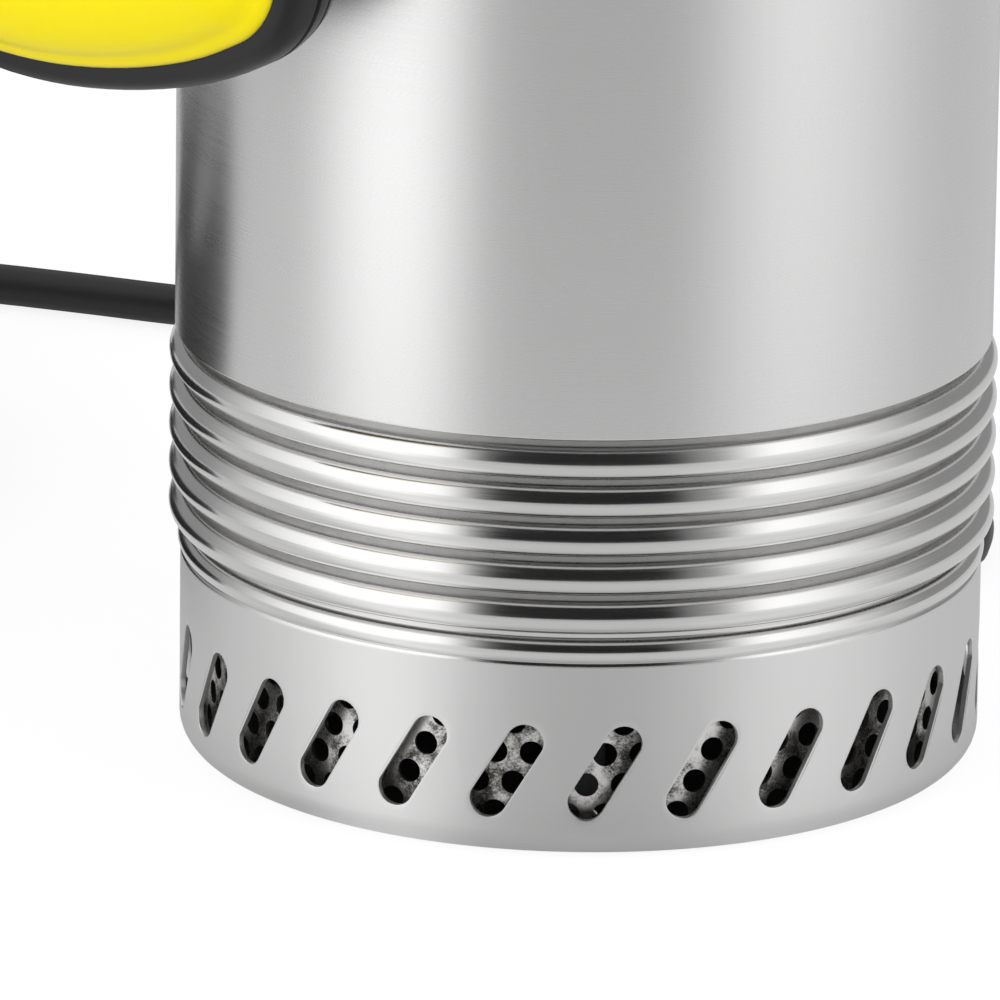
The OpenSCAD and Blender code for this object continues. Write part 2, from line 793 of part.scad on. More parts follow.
// Moulded head over the jacket's top edge, with seats for outlet, glands and handle
module top_cover() {
  jacket_slot = jacket_wall + loose_fit + 0.3;
  color(black) difference() {
    union() {
      rotate_extrude() difference() {
        union() {
          turned_block(skirt_r, jacket_top - skirt_depth, cover_top, shoulder_r);
          band(0, spigot_r, jacket_top - spigot_depth, jacket_top);
        }
        band(spigot_r, spigot_r + jacket_slot, jacket_top - spigot_depth - 1, jacket_top);
        turned_block(shell_inner_r, jacket_top - spigot_depth - 1, cover_top - cover_wall,
          shoulder_r - 4);
        band(spigot_r - 2 * oring_r + 0.2, spigot_r + 1,
          upper_oring_z - oring_r - 0.2, upper_oring_z + oring_r + 0.2);
      }
      intersection() {
        union() {
          around(rod_count, rod_circle_r)
            translate([0, 0, jacket_top]) cylinder(cover_rise, boss_r, boss_r);
          for (at = [[tower_x, tower_y], float_gland_xy])
            translate([at[0], at[1], cover_top - cover_wall - collar_h])
              cylinder(collar_h + 1, tower_r + collar_t, tower_r + collar_t);
        }
        rotate_extrude() turned_block(skirt_r, jacket_top - skirt_depth, cover_top, shoulder_r);
      }
      for (side = [-1, 1])
        translate([-handle_w / 2, side * handle_half - (side < 0 ? foot_len : leg_t), cover_top - 14])
          cube([handle_w, foot_len + leg_t, foot_z - cover_top + 14]);
      translate([outlet_x, 0, seat_z])
        cylinder(outlet_low - seat_z, outlet_outer_r + 2.5, outlet_outer_r + 2.5);
    }
    around(rod_count, rod_circle_r) {
      translate([0, 0, jacket_top - 6]) cylinder(90, rod_r + 0.2, rod_r + 0.2);
      translate([0, 0, boss_top]) cylinder(60, pocket_r, pocket_r);
    }
    translate([outlet_x, 0, seat_z - 1]) cylinder(60, chimney_r, chimney_r);
    for (at = [[tower_x, tower_y], float_gland_xy])
      translate([at[0], at[1], cover_top - cover_wall - 2 - 20]) {
        cylinder(20, tower_r + push_fit, tower_r + push_fit);
        cylinder(40, tower_bore_r, tower_bore_r);
      }
    for (side = [-1, 1])
      translate([0, side * (handle_half + foot_len / 2), foot_z - handle_screw_len - 0.5])
        cylinder(20, handle_screw_r + push_fit, handle_screw_r + push_fit);
  }
}

module upper_oring() {
  color(rubber) ring(spigot_r + loose_fit - push_fit - oring_r, oring_r, upper_oring_z);
}

// Threaded metal socket for the hose or pipe, with a spigot down into the cover
module outlet_socket() {
  spigot_low = outlet_low - outlet_spigot_h;
  color(brass) translate([outlet_x, 0, 0]) rotate_extrude() difference() {
    union() {
      band(0, chimney_r - push_fit, spigot_low, outlet_low + 1);
      band(0, outlet_outer_r, outlet_low, outlet_low + outlet_flange_h);
      band(0, outlet_outer_r - 1.8, outlet_low, outlet_top - 4);
      band(0, outlet_outer_r, outlet_top - 5, outlet_top);
    }
    band(-1, outlet_r, outlet_low - 1, outlet_top + 1);
    band(-1, chimney_r - outlet_spigot_wall, spigot_low - 1, outlet_low);
  }
}

module valve_seat() {
  color(black) translate([outlet_x, 0, 0]) rotate_extrude()
    band(seat_bore_r, chimney_r - push_fit, seat_z, seat_z + seat_h);
}

// Spider that guides the valve's stem and holds its spring
module valve_guide() {
  color(black) translate([outlet_x, 0, guide_z]) difference() {
    union() {
      rotate_extrude() {
        band(stem_r + loose_fit, stem_r + 3, -3, guide_h);
        band(chimney_r - 2.5, chimney_r - push_fit, seat_z + seat_h - guide_z, guide_h);
      }
      for (i = [0:2]) rotate([0, 0, i * 120])
        translate([stem_r + 1.5, -1.2, 0]) cube([chimney_r - stem_r - 2.5, 2.4, guide_h]);
    }
  }
}

module valve_poppet() {
  low = seat_z + seat_h;
  color("#8a1f1f") translate([outlet_x, 0, 0]) rotate_extrude() {
    band(0, poppet_r, low, low + poppet_t);
    band(0, stem_r, low, guide_z + guide_h + 1);
    band(0, seat_bore_r - 1, low - 2, low);
  }
}

module valve_spring() {
  low = seat_z + seat_h + poppet_t;
  turns = 4;
  steps = 14;
  r = 7.6;
  wire_r = 0.5;
  top = guide_z - 0.1;
  color(steel) translate([outlet_x, 0, 0])
    swept([for (i = [0:turns * steps]) [r * cos(i * 360 / steps), r * sin(i * 360 / steps),
      low + wire_r + 0.1 + (top - low - 2 * wire_r - 0.2) * i / (turns * steps)]], wire_r, 6);
}

// Upright block with its two top corners rounded, centred on x = 0
module arch_block(half, z0, z1, corner) {
  translate([-half, z0]) square([2 * half, z1 - z0 - corner]);
  translate([corner - half, z0]) square([2 * (half - corner), z1 - z0]);
  for (side = [-1, 1]) translate([side * (half - corner), z1 - corner]) circle(corner);
}

// Arched carrying handle with a rope eye and a screwed foot at each end
module handle() {
  top = cover_top + handle_rise;
  color(black) difference() {
    translate([-handle_w / 2, 0, 0]) rotate([90, 0, 90]) linear_extrude(handle_w) difference() {
      union() {
        arch_block(handle_half, foot_z, top, 22);
        translate([-handle_half - foot_len, foot_z]) square([2 * (handle_half + foot_len), foot_t]);
      }
      arch_block(handle_half - leg_t, foot_z - through, top - handle_t, 12);
    }
    translate([-handle_w, 0, top - handle_t / 2]) rotate([0, 90, 0])
      cylinder(2 * handle_w, rope_eye_r, rope_eye_r);
    for (side = [-1, 1]) translate([0, side * (handle_half + foot_len / 2), foot_z - 1])
      cylinder(20, handle_screw_r + 0.2, handle_screw_r + 0.2);
  }
}

module handle_screws() {
  color(steel) for (side = [-1, 1]) translate([0, side * (handle_half + foot_len / 2), 0]) difference() {
    union() {
      translate([0, 0, foot_z - handle_screw_len])
        cylinder(handle_screw_len + foot_t, handle_screw_r, handle_screw_r);
      translate([0, 0, foot_z + foot_t])
        cylinder(handle_head_h, handle_head_r, handle_head_r * 0.87);
    }
    for (turn = [0, 90]) rotate([0, 0, turn])
      translate([-handle_head_r / 2, -handle_head_r / 8, foot_z + foot_t + handle_head_h / 2])
        cube([handle_head_r, handle_head_r / 4, handle_head_h]);
  }
}

// ---- glands and mains cord ----

module gland(x, y, r, h, bore_r) {
  translate([x, y, cover_top]) difference() {
    cylinder(h, r, r);
    translate([0, 0, -1]) cylinder(h + 2, bore_r, bore_r);
  }
}

module cord_gland() { color(black) gland(tower_x, tower_y, gland_r, gland_h, tower_bore_r); }

module cord_gland_nut() {
  color(black) translate([tower_x, tower_y, cover_top + gland_h]) difference() {
    cylinder(gland_nut_h, gland_r + 1.5, gland_r + 1.5, $fn = 6);
    translate([0, 0, -1]) cylinder(gland_nut_h + 2, relief_low_r + push_fit, relief_low_r + push_fit);
  }
}

// Tapered sleeve that the cord leaves the gland through
module cord_relief() {
  low = cover_top + gland_h + 1;
  top = route[0][2];
  color(rubber) translate([tower_x, tower_y, 0]) {
    translate([0, 0, low]) cylinder(gland_nut_h, relief_low_r, relief_low_r);
    translate([0, 0, low + gland_nut_h]) cylinder(top - low - gland_nut_h, relief_low_r, relief_top_r);
  }
}

module mains_cord() { color(black) swept(route, cord_r); }

module cord_coil() {
  color(black) translate([coil_at[0], coil_at[1], coil_lift]) rotate_extrude()
    translate([coil_mid_r - coil_w / 2, 0]) difference() {
      square([coil_w, coil_h]);
      for (x = [0, coil_w], z = [0, coil_h]) translate([x, z]) rotate(45) square(4, center = true);
    }
}

// Strap around the bundle of turns
module cord_tie() {
  t = 1;
  gap = 0.7;
  color("#2b2b2b") translate([coil_at[0], coil_at[1] - coil_mid_r, coil_lift]) rotate([90, 0, 90])
    translate([0, 0, -7]) linear_extrude(14) difference() {
      translate([-coil_w / 2 - t - gap, -t - gap]) square([coil_w + 2 * (t + gap), coil_h + 2 * (t + gap)]);
      translate([-coil_w / 2 - gap, -gap]) square([coil_w + 2 * gap, coil_h + 2 * gap]);
    }
}

module cord_tail() { color(black) swept(tail, cord_r); }

// Children placed with +Z along the plug, from the cord's end
module on_plug() {
  translate(plug_from) rotate([0, 0, plug_heading]) rotate([0, 90, 0]) children();
}
module plug_body() {
  color(black) on_plug() {
    cylinder(16, 6, 8);
    translate([0, 0, 16]) cylinder(8, 8, plug_r - 2);
    translate([0, 0, 24]) cylinder(plug_len - 12, plug_r, plug_r);
  }
}
module plug_pins() {
  color(brass) on_plug() for (side = [-1, 1])
    translate([0, side * pin_gap / 2, 12 + plug_len]) cylinder(pin_len, pin_r, pin_r);
}

// ---- float switch ----

module float_gland() {
  color(black) gland(float_gland_xy[0], float_gland_xy[1], float_gland_r, float_gland_h,
    float_cable_r + push_fit);
}

// Float cable from its gland over to the clip
module float_lead() {
  color(rubber) rotate([0, 0, float_heading]) {
    translate([float_reach, 0, lead_low])
      cylinder(lead_turn_z - lead_low, float_cable_r, float_cable_r);
    translate([float_gland_at, 0, cover_top - 6])
      cylinder(lead_turn_z - cover_top + 6, float_cable_r, float_cable_r);
    translate([(float_reach + float_gland_at) / 2, 0, lead_turn_z]) rotate([90, 0, 0])
      rotate_extrude(angle = 180) translate([lead_bend_r, 0]) circle(float_cable_r);
  }
}

// Forked holder on the cover's side, open to the front for the float cable's swing
module float_clip() {
  gap = float_cable_r + loose_fit;
  head = gap + prong_t;
  start = skirt_r - 2.5;
  color(black) difference() {
    union() {
      rotate([0, 0, float_heading]) translate([start, -arm_w / 2, clip_z])
        cube([float_reach - start - gap - 1, arm_w, clip_h]);
      at_float() translate([-head, -prong_len, clip_z]) cube([2 * head, prong_len + head, clip_h]);
    }
    translate([0, 0, clip_z - 1]) cylinder(clip_h + 2, skirt_r + push_fit, skirt_r + push_fit);
    at_float() translate([0, 0, clip_z - 1]) {
      cylinder(clip_h + 2, gap, gap);
      translate([-gap, -prong_len - 1, 0]) cube([2 * gap, prong_len + 1, clip_h + 2]);
    }
  }
}

// Children placed in the float's own frame, its front facing -Y
module at_float() {
  translate([float_at[0], float_at[1], 0]) rotate([0, 0, float_turn]) children();
}

// Pentagonal plate with a full round of radius r all along its edge
module pillow(r) {
  corners = [[-float_corner_x, float_corner_z], [float_corner_x, float_corner_z],
    [float_corner_x, -float_corner_z], [0, -float_chin_z], [-float_corner_x, -float_corner_z]];
  translate([0, 0, float_mid]) {
    rotate([90, 0, 0]) linear_extrude(2 * r, center = true) polygon(corners);
    for (i = [0:len(corners) - 1]) {
      from = corners[i];
      edge = corners[(i + 1) % len(corners)] - from;
      translate([from[0], 0, from[1]]) {
        sphere(r);
        rotate([0, atan2(edge[0], edge[1]), 0]) cylinder(norm(edge), r, r);
      }
    }
  }
}

// Thin-walled half of a pillow, on one side of the seam
module float_shell(outer_r, inner_r, side_y) {
  difference() {
    intersection() {
      pillow(outer_r);
      translate([-float_w, side_y, 0]) cube([2 * float_w, float_w, pivot_z]);
    }
    pillow(inner_r);
  }
}

// Coloured front shell of the float
module float_front() {
  color(yellow) at_float() float_shell(float_front_t, float_front_t - 1.25 * float_wall, seam_y - float_w);
}

// Rear shell of the float, thicker at the seam
module float_rear() {
  color(black) at_float() float_shell(float_rear_t, float_rear_t - 2 * float_wall, seam_y);
}

// Cable between the clip and the float
module float_cable() {
  color(rubber) translate([float_at[0], float_at[1], 0]) {
    translate([0, 0, boot_z + boot_h]) cylinder(pivot_z - boot_z - boot_h, float_cable_r, float_cable_r);
    translate([0, 0, pivot_z]) sphere(float_cable_r);
  }
}

module float_boot() {
  color(rubber) translate([float_at[0], float_at[1], boot_z])
    cylinder(boot_h, boot_r, float_cable_r + 0.8);
}

// Guide tube of the ball, on two fins that are glued to the rear shell
module ball_guide() {
  fin_end = float_rear_t - 2 * float_wall + 0.4;
  color("white") at_float() translate([0, ball_y, ball_guide_z]) difference() {
    union() {
      cylinder(ball_guide_h, guide_bore_r + guide_wall, guide_bore_r + guide_wall);
      for (z = [guide_fin_h / 2, ball_guide_h - 1.5 * guide_fin_h])
        translate([-guide_wall, guide_bore_r, z])
          cube([2 * guide_wall, fin_end - ball_y - guide_bore_r, guide_fin_h]);
    }
    translate([0, 0, guide_floor]) cylinder(ball_guide_h, guide_bore_r, guide_bore_r);
  }
}

module float_ball() {
  color(steel) at_float() translate([0, ball_y, ball_z]) sphere(ball_r);
}

strainer_shell();
filter_sleeve();
strainer_screws();
intake_plate();
lower_oring();
jacket();
stage_casing_1();
stage_casing_2();
stage_casing_3();
stage_casing_4();
window_ring();
seal_housing();
seal_seat();
lower_bearing();
motor_can();
stator_core();
stator_windings();
motor_cap();
upper_bearing();
dry_chamber();
capacitor();
terminal_block();
tie_rods();
cap_nuts();
top_cover();
upper_oring();
outlet_socket();
valve_seat();
valve_guide();
valve_spring();
valve_poppet();
handle();
handle_screws();
cord_gland();
cord_gland_nut();
cord_relief();
mains_cord();
cord_coil();
cord_tie();
cord_tail();
plug_body();
plug_pins();
float_gland();
float_lead();
float_clip();
pump_shaft();
rotor_core();
impeller_1();
impeller_2();
impeller_3();
impeller_4();
shaft_sleeves();
shaft_nut();
seal_rotor();
float_front();
float_rear();
float_cable();
float_boot();
ball_guide();
float_ball();
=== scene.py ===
"""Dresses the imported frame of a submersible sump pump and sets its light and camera.

Every piece is made in metres in the frame's own axes: +Z up along the pump's shaft,
the front of the pump towards -Y and the outlet on the +X side.
"""

from __future__ import annotations

import json
import logging
import math
from collections.abc import Callable, Sequence
from dataclasses import dataclass, field
from enum import Enum

import bmesh
import bpy
from mathutils import Matrix, Vector


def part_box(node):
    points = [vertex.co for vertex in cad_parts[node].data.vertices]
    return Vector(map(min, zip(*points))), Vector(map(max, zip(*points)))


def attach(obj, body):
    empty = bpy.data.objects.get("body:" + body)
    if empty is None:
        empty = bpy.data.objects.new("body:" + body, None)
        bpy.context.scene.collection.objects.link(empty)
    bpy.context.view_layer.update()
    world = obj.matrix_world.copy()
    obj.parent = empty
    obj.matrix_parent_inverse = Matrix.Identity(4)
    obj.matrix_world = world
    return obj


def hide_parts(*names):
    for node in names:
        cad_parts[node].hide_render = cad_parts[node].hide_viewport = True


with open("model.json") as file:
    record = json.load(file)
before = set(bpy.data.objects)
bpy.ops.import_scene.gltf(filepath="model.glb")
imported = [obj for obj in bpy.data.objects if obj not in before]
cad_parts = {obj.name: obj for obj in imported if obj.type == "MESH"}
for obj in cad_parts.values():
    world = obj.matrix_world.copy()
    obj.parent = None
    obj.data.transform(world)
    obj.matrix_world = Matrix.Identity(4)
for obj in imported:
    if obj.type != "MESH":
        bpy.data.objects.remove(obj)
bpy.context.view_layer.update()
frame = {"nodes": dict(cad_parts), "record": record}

LOG = logging.getLogger("sump_pump")
MM = 0.001
ORIGIN = (0.0, 0.0, 0.0)
MERGE = 1e-6
Profile = Sequence[tuple[float, float]]


class Body(Enum):
    """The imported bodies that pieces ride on."""

    PUMP = "pump"
    FLOAT = "float"


class Pick(Enum):
    """What a selection in edit mode is made of."""

    VERTS = "VERT"
    EDGES = "EDGE"
    FACES = "FACE"


# ---------------------------------------------------------------- modelling steps


def focus(obj: bpy.types.Object) -> None:
    """Makes an object the only selected one, and the active one.

    Args:
        obj: the object.
    """
    bpy.ops.object.select_all(action="DESELECT")
    obj.select_set(True)
    bpy.context.view_layer.objects.active = obj


def open_mesh(obj: bpy.types.Object) -> None:
    """Opens an object in edit mode."""
    focus(obj)
    bpy.ops.object.mode_set(mode="EDIT")


def close_mesh() -> None:
    """Leaves edit mode."""
    bpy.ops.object.mode_set(mode="OBJECT")


def named(name: str) -> bpy.types.Object:
    """Gives the object that was just added its name, and settles its place in its mesh.

    Args:
        name: the piece's name.

    Returns:
        The object.
    """
    obj = bpy.context.object
    obj.name = obj.data.name = name
    focus(obj)
    bpy.ops.object.transform_apply(location=True, rotation=True, scale=True)
    return obj


def pick(obj: bpy.types.Object, test: Callable[..., bool], kind: Pick = Pick.VERTS) -> int:
    """Selects parts of the open mesh that pass a test.

    Args:
        obj: the object in edit mode.
        test: takes a vertex, edge or face and says whether it is selected.
        kind: which of the three is tested.

    Returns:
        How many were selected.
    """
    bpy.ops.mesh.select_mode(type=kind.value)
    bpy.ops.mesh.select_all(action="DESELECT")
    mesh = bmesh.from_edit_mesh(obj.data)
    parts = {Pick.VERTS: mesh.verts, Pick.EDGES: mesh.edges, Pick.FACES: mesh.faces}[kind]
    parts.index_update()
    count = 0
    for part in parts:
        if test(part):
            part.select_set(True)
            count += 1
    mesh.select_flush_mode()
    bmesh.update_edit_mesh(obj.data)
    return count


def chosen(obj: bpy.types.Object) -> dict[int, Vector]:
    """Number and place of every selected vertex of the open mesh."""
    mesh = bmesh.from_edit_mesh(obj.data)
    mesh.verts.index_update()
    return {v.index: v.co.copy() for v in mesh.verts if v.select}


def tidy_mesh(obj: bpy.types.Object, merge: float = MERGE) -> None:
    """Merges doubles and turns the faces outwards.

    Args:
        obj: the object, in object mode.
        merge: how close two points are merged, in metres.
    """
    open_mesh(obj)
    bpy.ops.mesh.select_all(action="SELECT")
    bpy.ops.mesh.remove_doubles(threshold=merge)
    bpy.ops.mesh.normals_make_consistent(inside=False)
    close_mesh()


def modify(obj: bpy.types.Object, kind: str, **settings: object) -> None:
    """Adds a modifier, sets it and applies it.

    Args:
        obj: the object.
        kind: the modifier's type.
        **settings: the modifier's properties.
    """
    focus(obj)
    bpy.ops.object.modifier_add(type=kind)
    modifier = obj.modifiers[-1]
    for key, value in settings.items():
        setattr(modifier, key, value)
    bpy.ops.object.modifier_apply(modifier=modifier.name)


def smooth(obj: bpy.types.Object, angle: float = 32.0) -> None:
    """Shades an object smooth, but for edges sharper than an angle in degrees."""
    focus(obj)
    bpy.ops.object.shade_smooth_by_angle(angle=math.radians(angle))


def place(obj: bpy.types.Object, turn: float, at: Sequence[float], tilt: float = 0.0) -> None:
    """Turns and moves a piece, and settles that in its mesh.

    Args:
        obj: the piece, made at the origin.
        turn: turn about the upright axis, in degrees.
        at: where its origin goes, in metres.
        tilt: turn about the Y axis before that, in degrees.
    """
    focus(obj)
    obj.rotation_mode = "XYZ"
    obj.rotation_euler = (0.0, math.radians(tilt), math.radians(turn))
    obj.location = at
    bpy.ops.object.transform_apply(location=True, rotation=True, scale=True)


def arc(centre: tuple[float, float], radius: float, start: float, stop: float,
        steps: int) -> list[tuple[float, float]]:
    """Points of an arc in a profile.

    Args:
        centre: radius and height of the arc's centre.
        radius: the arc's radius.
        start: first angle in degrees, 0 pointing outwards and 90 up.
        stop: last angle in degrees.
        steps: number of steps between the two.

    Returns:
        Radius and height of each point.
    """
    angles = [math.radians(start + (stop - start) * i / steps) for i in range(steps + 1)]
    return [(centre[0] + radius * math.cos(a), centre[1] + radius * math.sin(a)) for a in angles]


def fair(points: Sequence[Vector], cuts: int) -> list[Vector]:
    """Runs a smooth line through points.

    Args:
        points: the points to pass through.
        cuts: steps between two of them.

    Returns:
        The line's points.
    """
    line = []
    ends = [points[0] * 2 - points[1], *points, points[-1] * 2 - points[-2]]
    for before, here, there, after in zip(ends, ends[1:], ends[2:], ends[3:]):
        for i in range(cuts):
            t = i / cuts
            line.append(0.5 * ((2 * here) + (there - before) * t
                               + (2 * before - 5 * here + 4 * there - after) * t * t
                               + (3 * here - before - 3 * there + after) * t ** 3))
    return [*line, points[-1]]


def ribbed(rib: Profile, count: int, foot: float, pitch: float, width: float,
           taper: float = 0.0) -> list[tuple[float, float]]:
    """Repeats a rib up a profile.

    Args:
        rib: how far each of its corners is past the width, and above the rib's foot.
        count: number of ribs.
        foot: height of the first rib's foot, in millimetres.
        pitch: rise from one rib to the next.
        width: radius at the first rib's foot.
        taper: how much narrower each millimetre of rise makes it.

    Returns:
        Radius and height of each corner.
    """
    return [(width - taper * i * pitch + past, foot + i * pitch + rise)
            for i in range(count) for past, rise in rib]


def turned(name: str, profile: Profile, steps: int = 192,
           centre: tuple[float, float] = (0.0, 0.0), closed: bool = True) -> bpy.types.Object:
    """Turns a profile about an upright axis.

    Args:
        name: the piece's name.
        profile: radius and height of each corner, in millimetres.
        steps: number of steps round the axis.
        centre: where the axis stands, in millimetres.
        closed: whether the profile is joined from its last corner to its first.

    Returns:
        The turned object, its faces pointing outwards.
    """
    axis = Vector((centre[0], centre[1], 0.0)) * MM
    points = [Vector((r, 0.0, z)) * MM + axis for r, z in profile]
    bpy.ops.object.select_all(action="DESELECT")
    bpy.ops.mesh.primitive_plane_add(size=MM, location=points[0])
    obj = named(name)
    open_mesh(obj)
    bpy.ops.mesh.select_all(action="SELECT")
    bpy.ops.mesh.merge(type="CENTER")
    for before, after in zip(points, points[1:]):
        bpy.ops.mesh.extrude_region_move(TRANSFORM_OT_translate={"value": after - before})
    if closed:
        last = len(points) - 1
        pick(obj, lambda v: v.index in (0, last))
        bpy.ops.mesh.edge_face_add()
    bpy.ops.mesh.select_all(action="SELECT")
    bpy.ops.mesh.spin(steps=steps, angle=2 * math.pi, center=axis, axis=(0.0, 0.0, 1.0))
    close_mesh()
    tidy_mesh(obj)
    smooth(obj)
    return obj


def softened(node: str, width: float, segments: int = 2, angle: float = 35.0) -> bpy.types.Object:
    """Copies a solid of the frame and rounds its edges.

    Args:
        node: the solid's name.
        width: how far back the rounding starts, in millimetres.
        segments: steps across the rounding.
        angle: edges sharper than this are rounded, in degrees.

    Returns:
        The new piece, which replaces the solid.
    """
    source = frame["nodes"][node]
    obj = bpy.data.objects.new(f"{node}_soft", source.data.copy())
    bpy.context.scene.collection.objects.link(obj)
    obj.data.name = obj.name
    open_mesh(obj)
    bpy.ops.mesh.select_all(action="SELECT")
    bpy.ops.mesh.customdata_custom_splitnormals_clear()
    bpy.ops.mesh.remove_doubles(threshold=2e-6)
    bpy.ops.mesh.dissolve_limited(angle_limit=math.radians(0.6))
    close_mesh()
    modify(obj, "BEVEL", width=width * MM, segments=segments, limit_method="ANGLE",
           angle_limit=math.radians(angle), use_clamp_overlap=True)
    smooth(obj)
    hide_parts(node)
    return obj


# ---------------------------------------------------------------- finishes


class Flow:
    """A number or colour on its way between shader nodes."""

    def __init__(self, shader: "Shader", socket: bpy.types.NodeSocket) -> None:
        """Wraps a socket of a shader's node tree."""
        self.shader = shader
        self.socket = socket

    def __add__(self, other: "Flow | float") -> "Flow":
        """Adds."""
        return self.shader.maths("ADD", self, other)

    __radd__ = __add__

    def __sub__(self, other: "Flow | float") -> "Flow":
        """Subtracts."""
        return self.shader.maths("SUBTRACT", self, other)

    def __rsub__(self, other: "Flow | float") -> "Flow":
        """Subtracts this from a number."""
        return self.shader.maths("SUBTRACT", other, self)

    def __mul__(self, other: "Flow | float") -> "Flow":
        """Multiplies."""
        return self.shader.maths("MULTIPLY", self, other)

    __rmul__ = __mul__

    def __truediv__(self, other: "Flow | float") -> "Flow":
        """Divides."""
        return self.shader.maths("DIVIDE", self, other)

    def __rtruediv__(self, other: "Flow | float") -> "Flow":
        """Divides a number by this."""
        return self.shader.maths("DIVIDE", other, self)


class Shader:
    """A material's node tree, written as expressions."""

    def __init__(self, tree: bpy.types.NodeTree) -> None:
        """Starts on a node tree."""
        self.tree = tree

    def node(self, kind: str, settings: dict[str, object] | None = None,
             sockets: dict[str | int, object] | None = None) -> bpy.types.Node:
        """Adds a node.

        Args:
            kind: the node's type.
            settings: the node's own properties, set first.
            sockets: value or link of each input, by name or number.

        Returns:
            The node.
        """
        made = self.tree.nodes.new(kind)
        for key, value in (settings or {}).items():
            setattr(made, key, value)
        for key, value in (sockets or {}).items():
            self.feed(made.inputs[key], value)
        return made

    def feed(self, socket: bpy.types.NodeSocket, value: object) -> None:
        """Sets a socket to a value, or links a flow to it.

        Args:
            socket: the socket.
            value: the value or flow.
        """
        if isinstance(value, Flow):
            self.tree.links.new(value.socket, socket)
        else:
            socket.default_value = value

    def maths(self, operation: str, left: Flow | float, right: Flow | float) -> Flow:
        """Adds a Math node for an operator."""
        made = self.node("ShaderNodeMath", {"operation": operation}, {0: left, 1: right})
        return Flow(self, made.outputs[0])

    def spread(self, value: Flow, low: float, high: float, to_low: float = 0.0,
               to_high: float = 1.0) -> Flow:
        """Maps a range smoothly onto another, held at both ends.

        Args:
            value: the number.
            low: where the change starts.
            high: where the change ends.
            to_low: result at and below the start.
            to_high: result at and above the end.

        Returns:
            The mapped number.
        """
        made = self.node("ShaderNodeMapRange", {"interpolation_type": "SMOOTHSTEP"},
                         {0: value, 1: low, 2: high, 3: to_low, 4: to_high})
        return Flow(self, made.outputs[0])

    def point(self) -> Flow:
        """Object coordinates."""
        return Flow(self, self.node("ShaderNodeTexCoord").outputs["Object"])

    def parts(self, vector: Flow) -> tuple[Flow, Flow, Flow]:
        """The three numbers of a vector."""
        made = self.node("ShaderNodeSeparateXYZ", None, {0: vector})
        return tuple(Flow(self, s) for s in made.outputs)

    def noise(self, stretch: tuple[float, float, float], detail: float = 2.0,
              roughness: float = 0.5, distortion: float = 0.0) -> Flow:
        """Noise on object coordinates.

        Args:
            stretch: waves per metre along X, Y and Z.
            detail: octaves.
            roughness: how strong the finer octaves are.
            distortion: how much the noise is warped.

        Returns:
            A number round 0.5.
        """
        scaled = self.node("ShaderNodeVectorMath", {"operation": "MULTIPLY"},
                           {0: self.point(), 1: stretch})
        made = self.node("ShaderNodeTexNoise", None,
                         {"Vector": Flow(self, scaled.outputs[0]), "Scale": 1.0,
                          "Detail": detail, "Roughness": roughness, "Distortion": distortion})
        return Flow(self, made.outputs[0])

    def colour(self, factor: Flow, low: Sequence[float], high: Sequence[float]) -> Flow:
        """Colour between two, by a factor."""
        made = self.node("ShaderNodeMix", {"data_type": "RGBA"},
                         {0: factor, 6: (*low, 1.0), 7: (*high, 1.0)})
        return Flow(self, made.outputs[2])

    def bump(self, height: Flow, depth: float) -> Flow:
        """Normal of a surface whose height of 0 to 1 is a depth in metres."""
        made = self.node("ShaderNodeBump", None,
                         {"Height": height, "Distance": depth, "Strength": 1.0})
        return Flow(self, made.outputs[0])

    def rays(self) -> tuple[Flow, Flow]:
        """One where the camera looks, and one where gloss does."""
        path = self.node("ShaderNodeLightPath")
        return Flow(self, path.outputs["Is Camera Ray"]), Flow(self, path.outputs["Is Glossy Ray"])

    def length(self, x: Flow, y: Flow) -> Flow:
        """Length of a line that runs by x and y."""
        return self.maths("SQRT", x * x + y * y, 0.0)

    def degrees(self, rise: Flow, run: Flow) -> Flow:
        """Angle of a slope, in degrees."""
        return self.maths("ARCTAN2", rise, run) * (180 / math.pi)


@dataclass(frozen=True)
class Finish:
    """A surface finish: its colour, its gloss and how both vary.

    Its darker places are smoother than the others, or rougher where vary is below zero.
    """

    name: str
    base: tuple[float, float, float]
    roughness: float
    metallic: float = 0.0
    vary: float = 0.04
    shade: float = 0.85
    depth: float = 0.0
    anisotropy: float = 0.0
    specular: float = 0.5
    grain: tuple[float, float, float] = (900.0, 900.0, 900.0)
    patch: tuple[float, float, float] = (14.0, 14.0, 14.0)

    def dim(self) -> tuple[float, ...]:
        """Colour of its darker places."""
        return tuple(c * self.shade for c in self.base)

    def pattern(self, shader: Shader) -> tuple[Flow, Flow]:
        """Lays out what varies over the surface.

        Args:
            shader: the material's shader.

        Returns:
            How light each place is, and how high its grain stands.
        """
        patches = shader.noise(self.patch, 3.0)
        grain = shader.noise(self.grain, 3.0, 0.6)
        return shader.spread(patches * 0.5 + grain * 0.5, 0.35, 0.65), grain

    def make(self) -> bpy.types.Material:
        """Builds the material.

        Returns:
            The material.
        """
        material = bpy.data.materials.new(self.name)
        material.use_nodes = True
        shader = Shader(material.node_tree)
        surface = material.node_tree.nodes["Principled BSDF"].inputs
        for key, value in {"Metallic": self.metallic, "Specular IOR Level": self.specular,
                           "Anisotropic": self.anisotropy,
                           "Anisotropic Rotation": 0.25 if self.anisotropy else 0.0}.items():
            surface[key].default_value = value
        light, height = self.pattern(shader)
        shader.feed(surface["Base Color"], shader.colour(light, self.dim(), self.base))
        shader.feed(surface["Roughness"], self.roughness - self.vary + light * (2 * self.vary))
        if self.depth:
            shader.feed(surface["Normal"], shader.bump(height, self.depth))
        return material


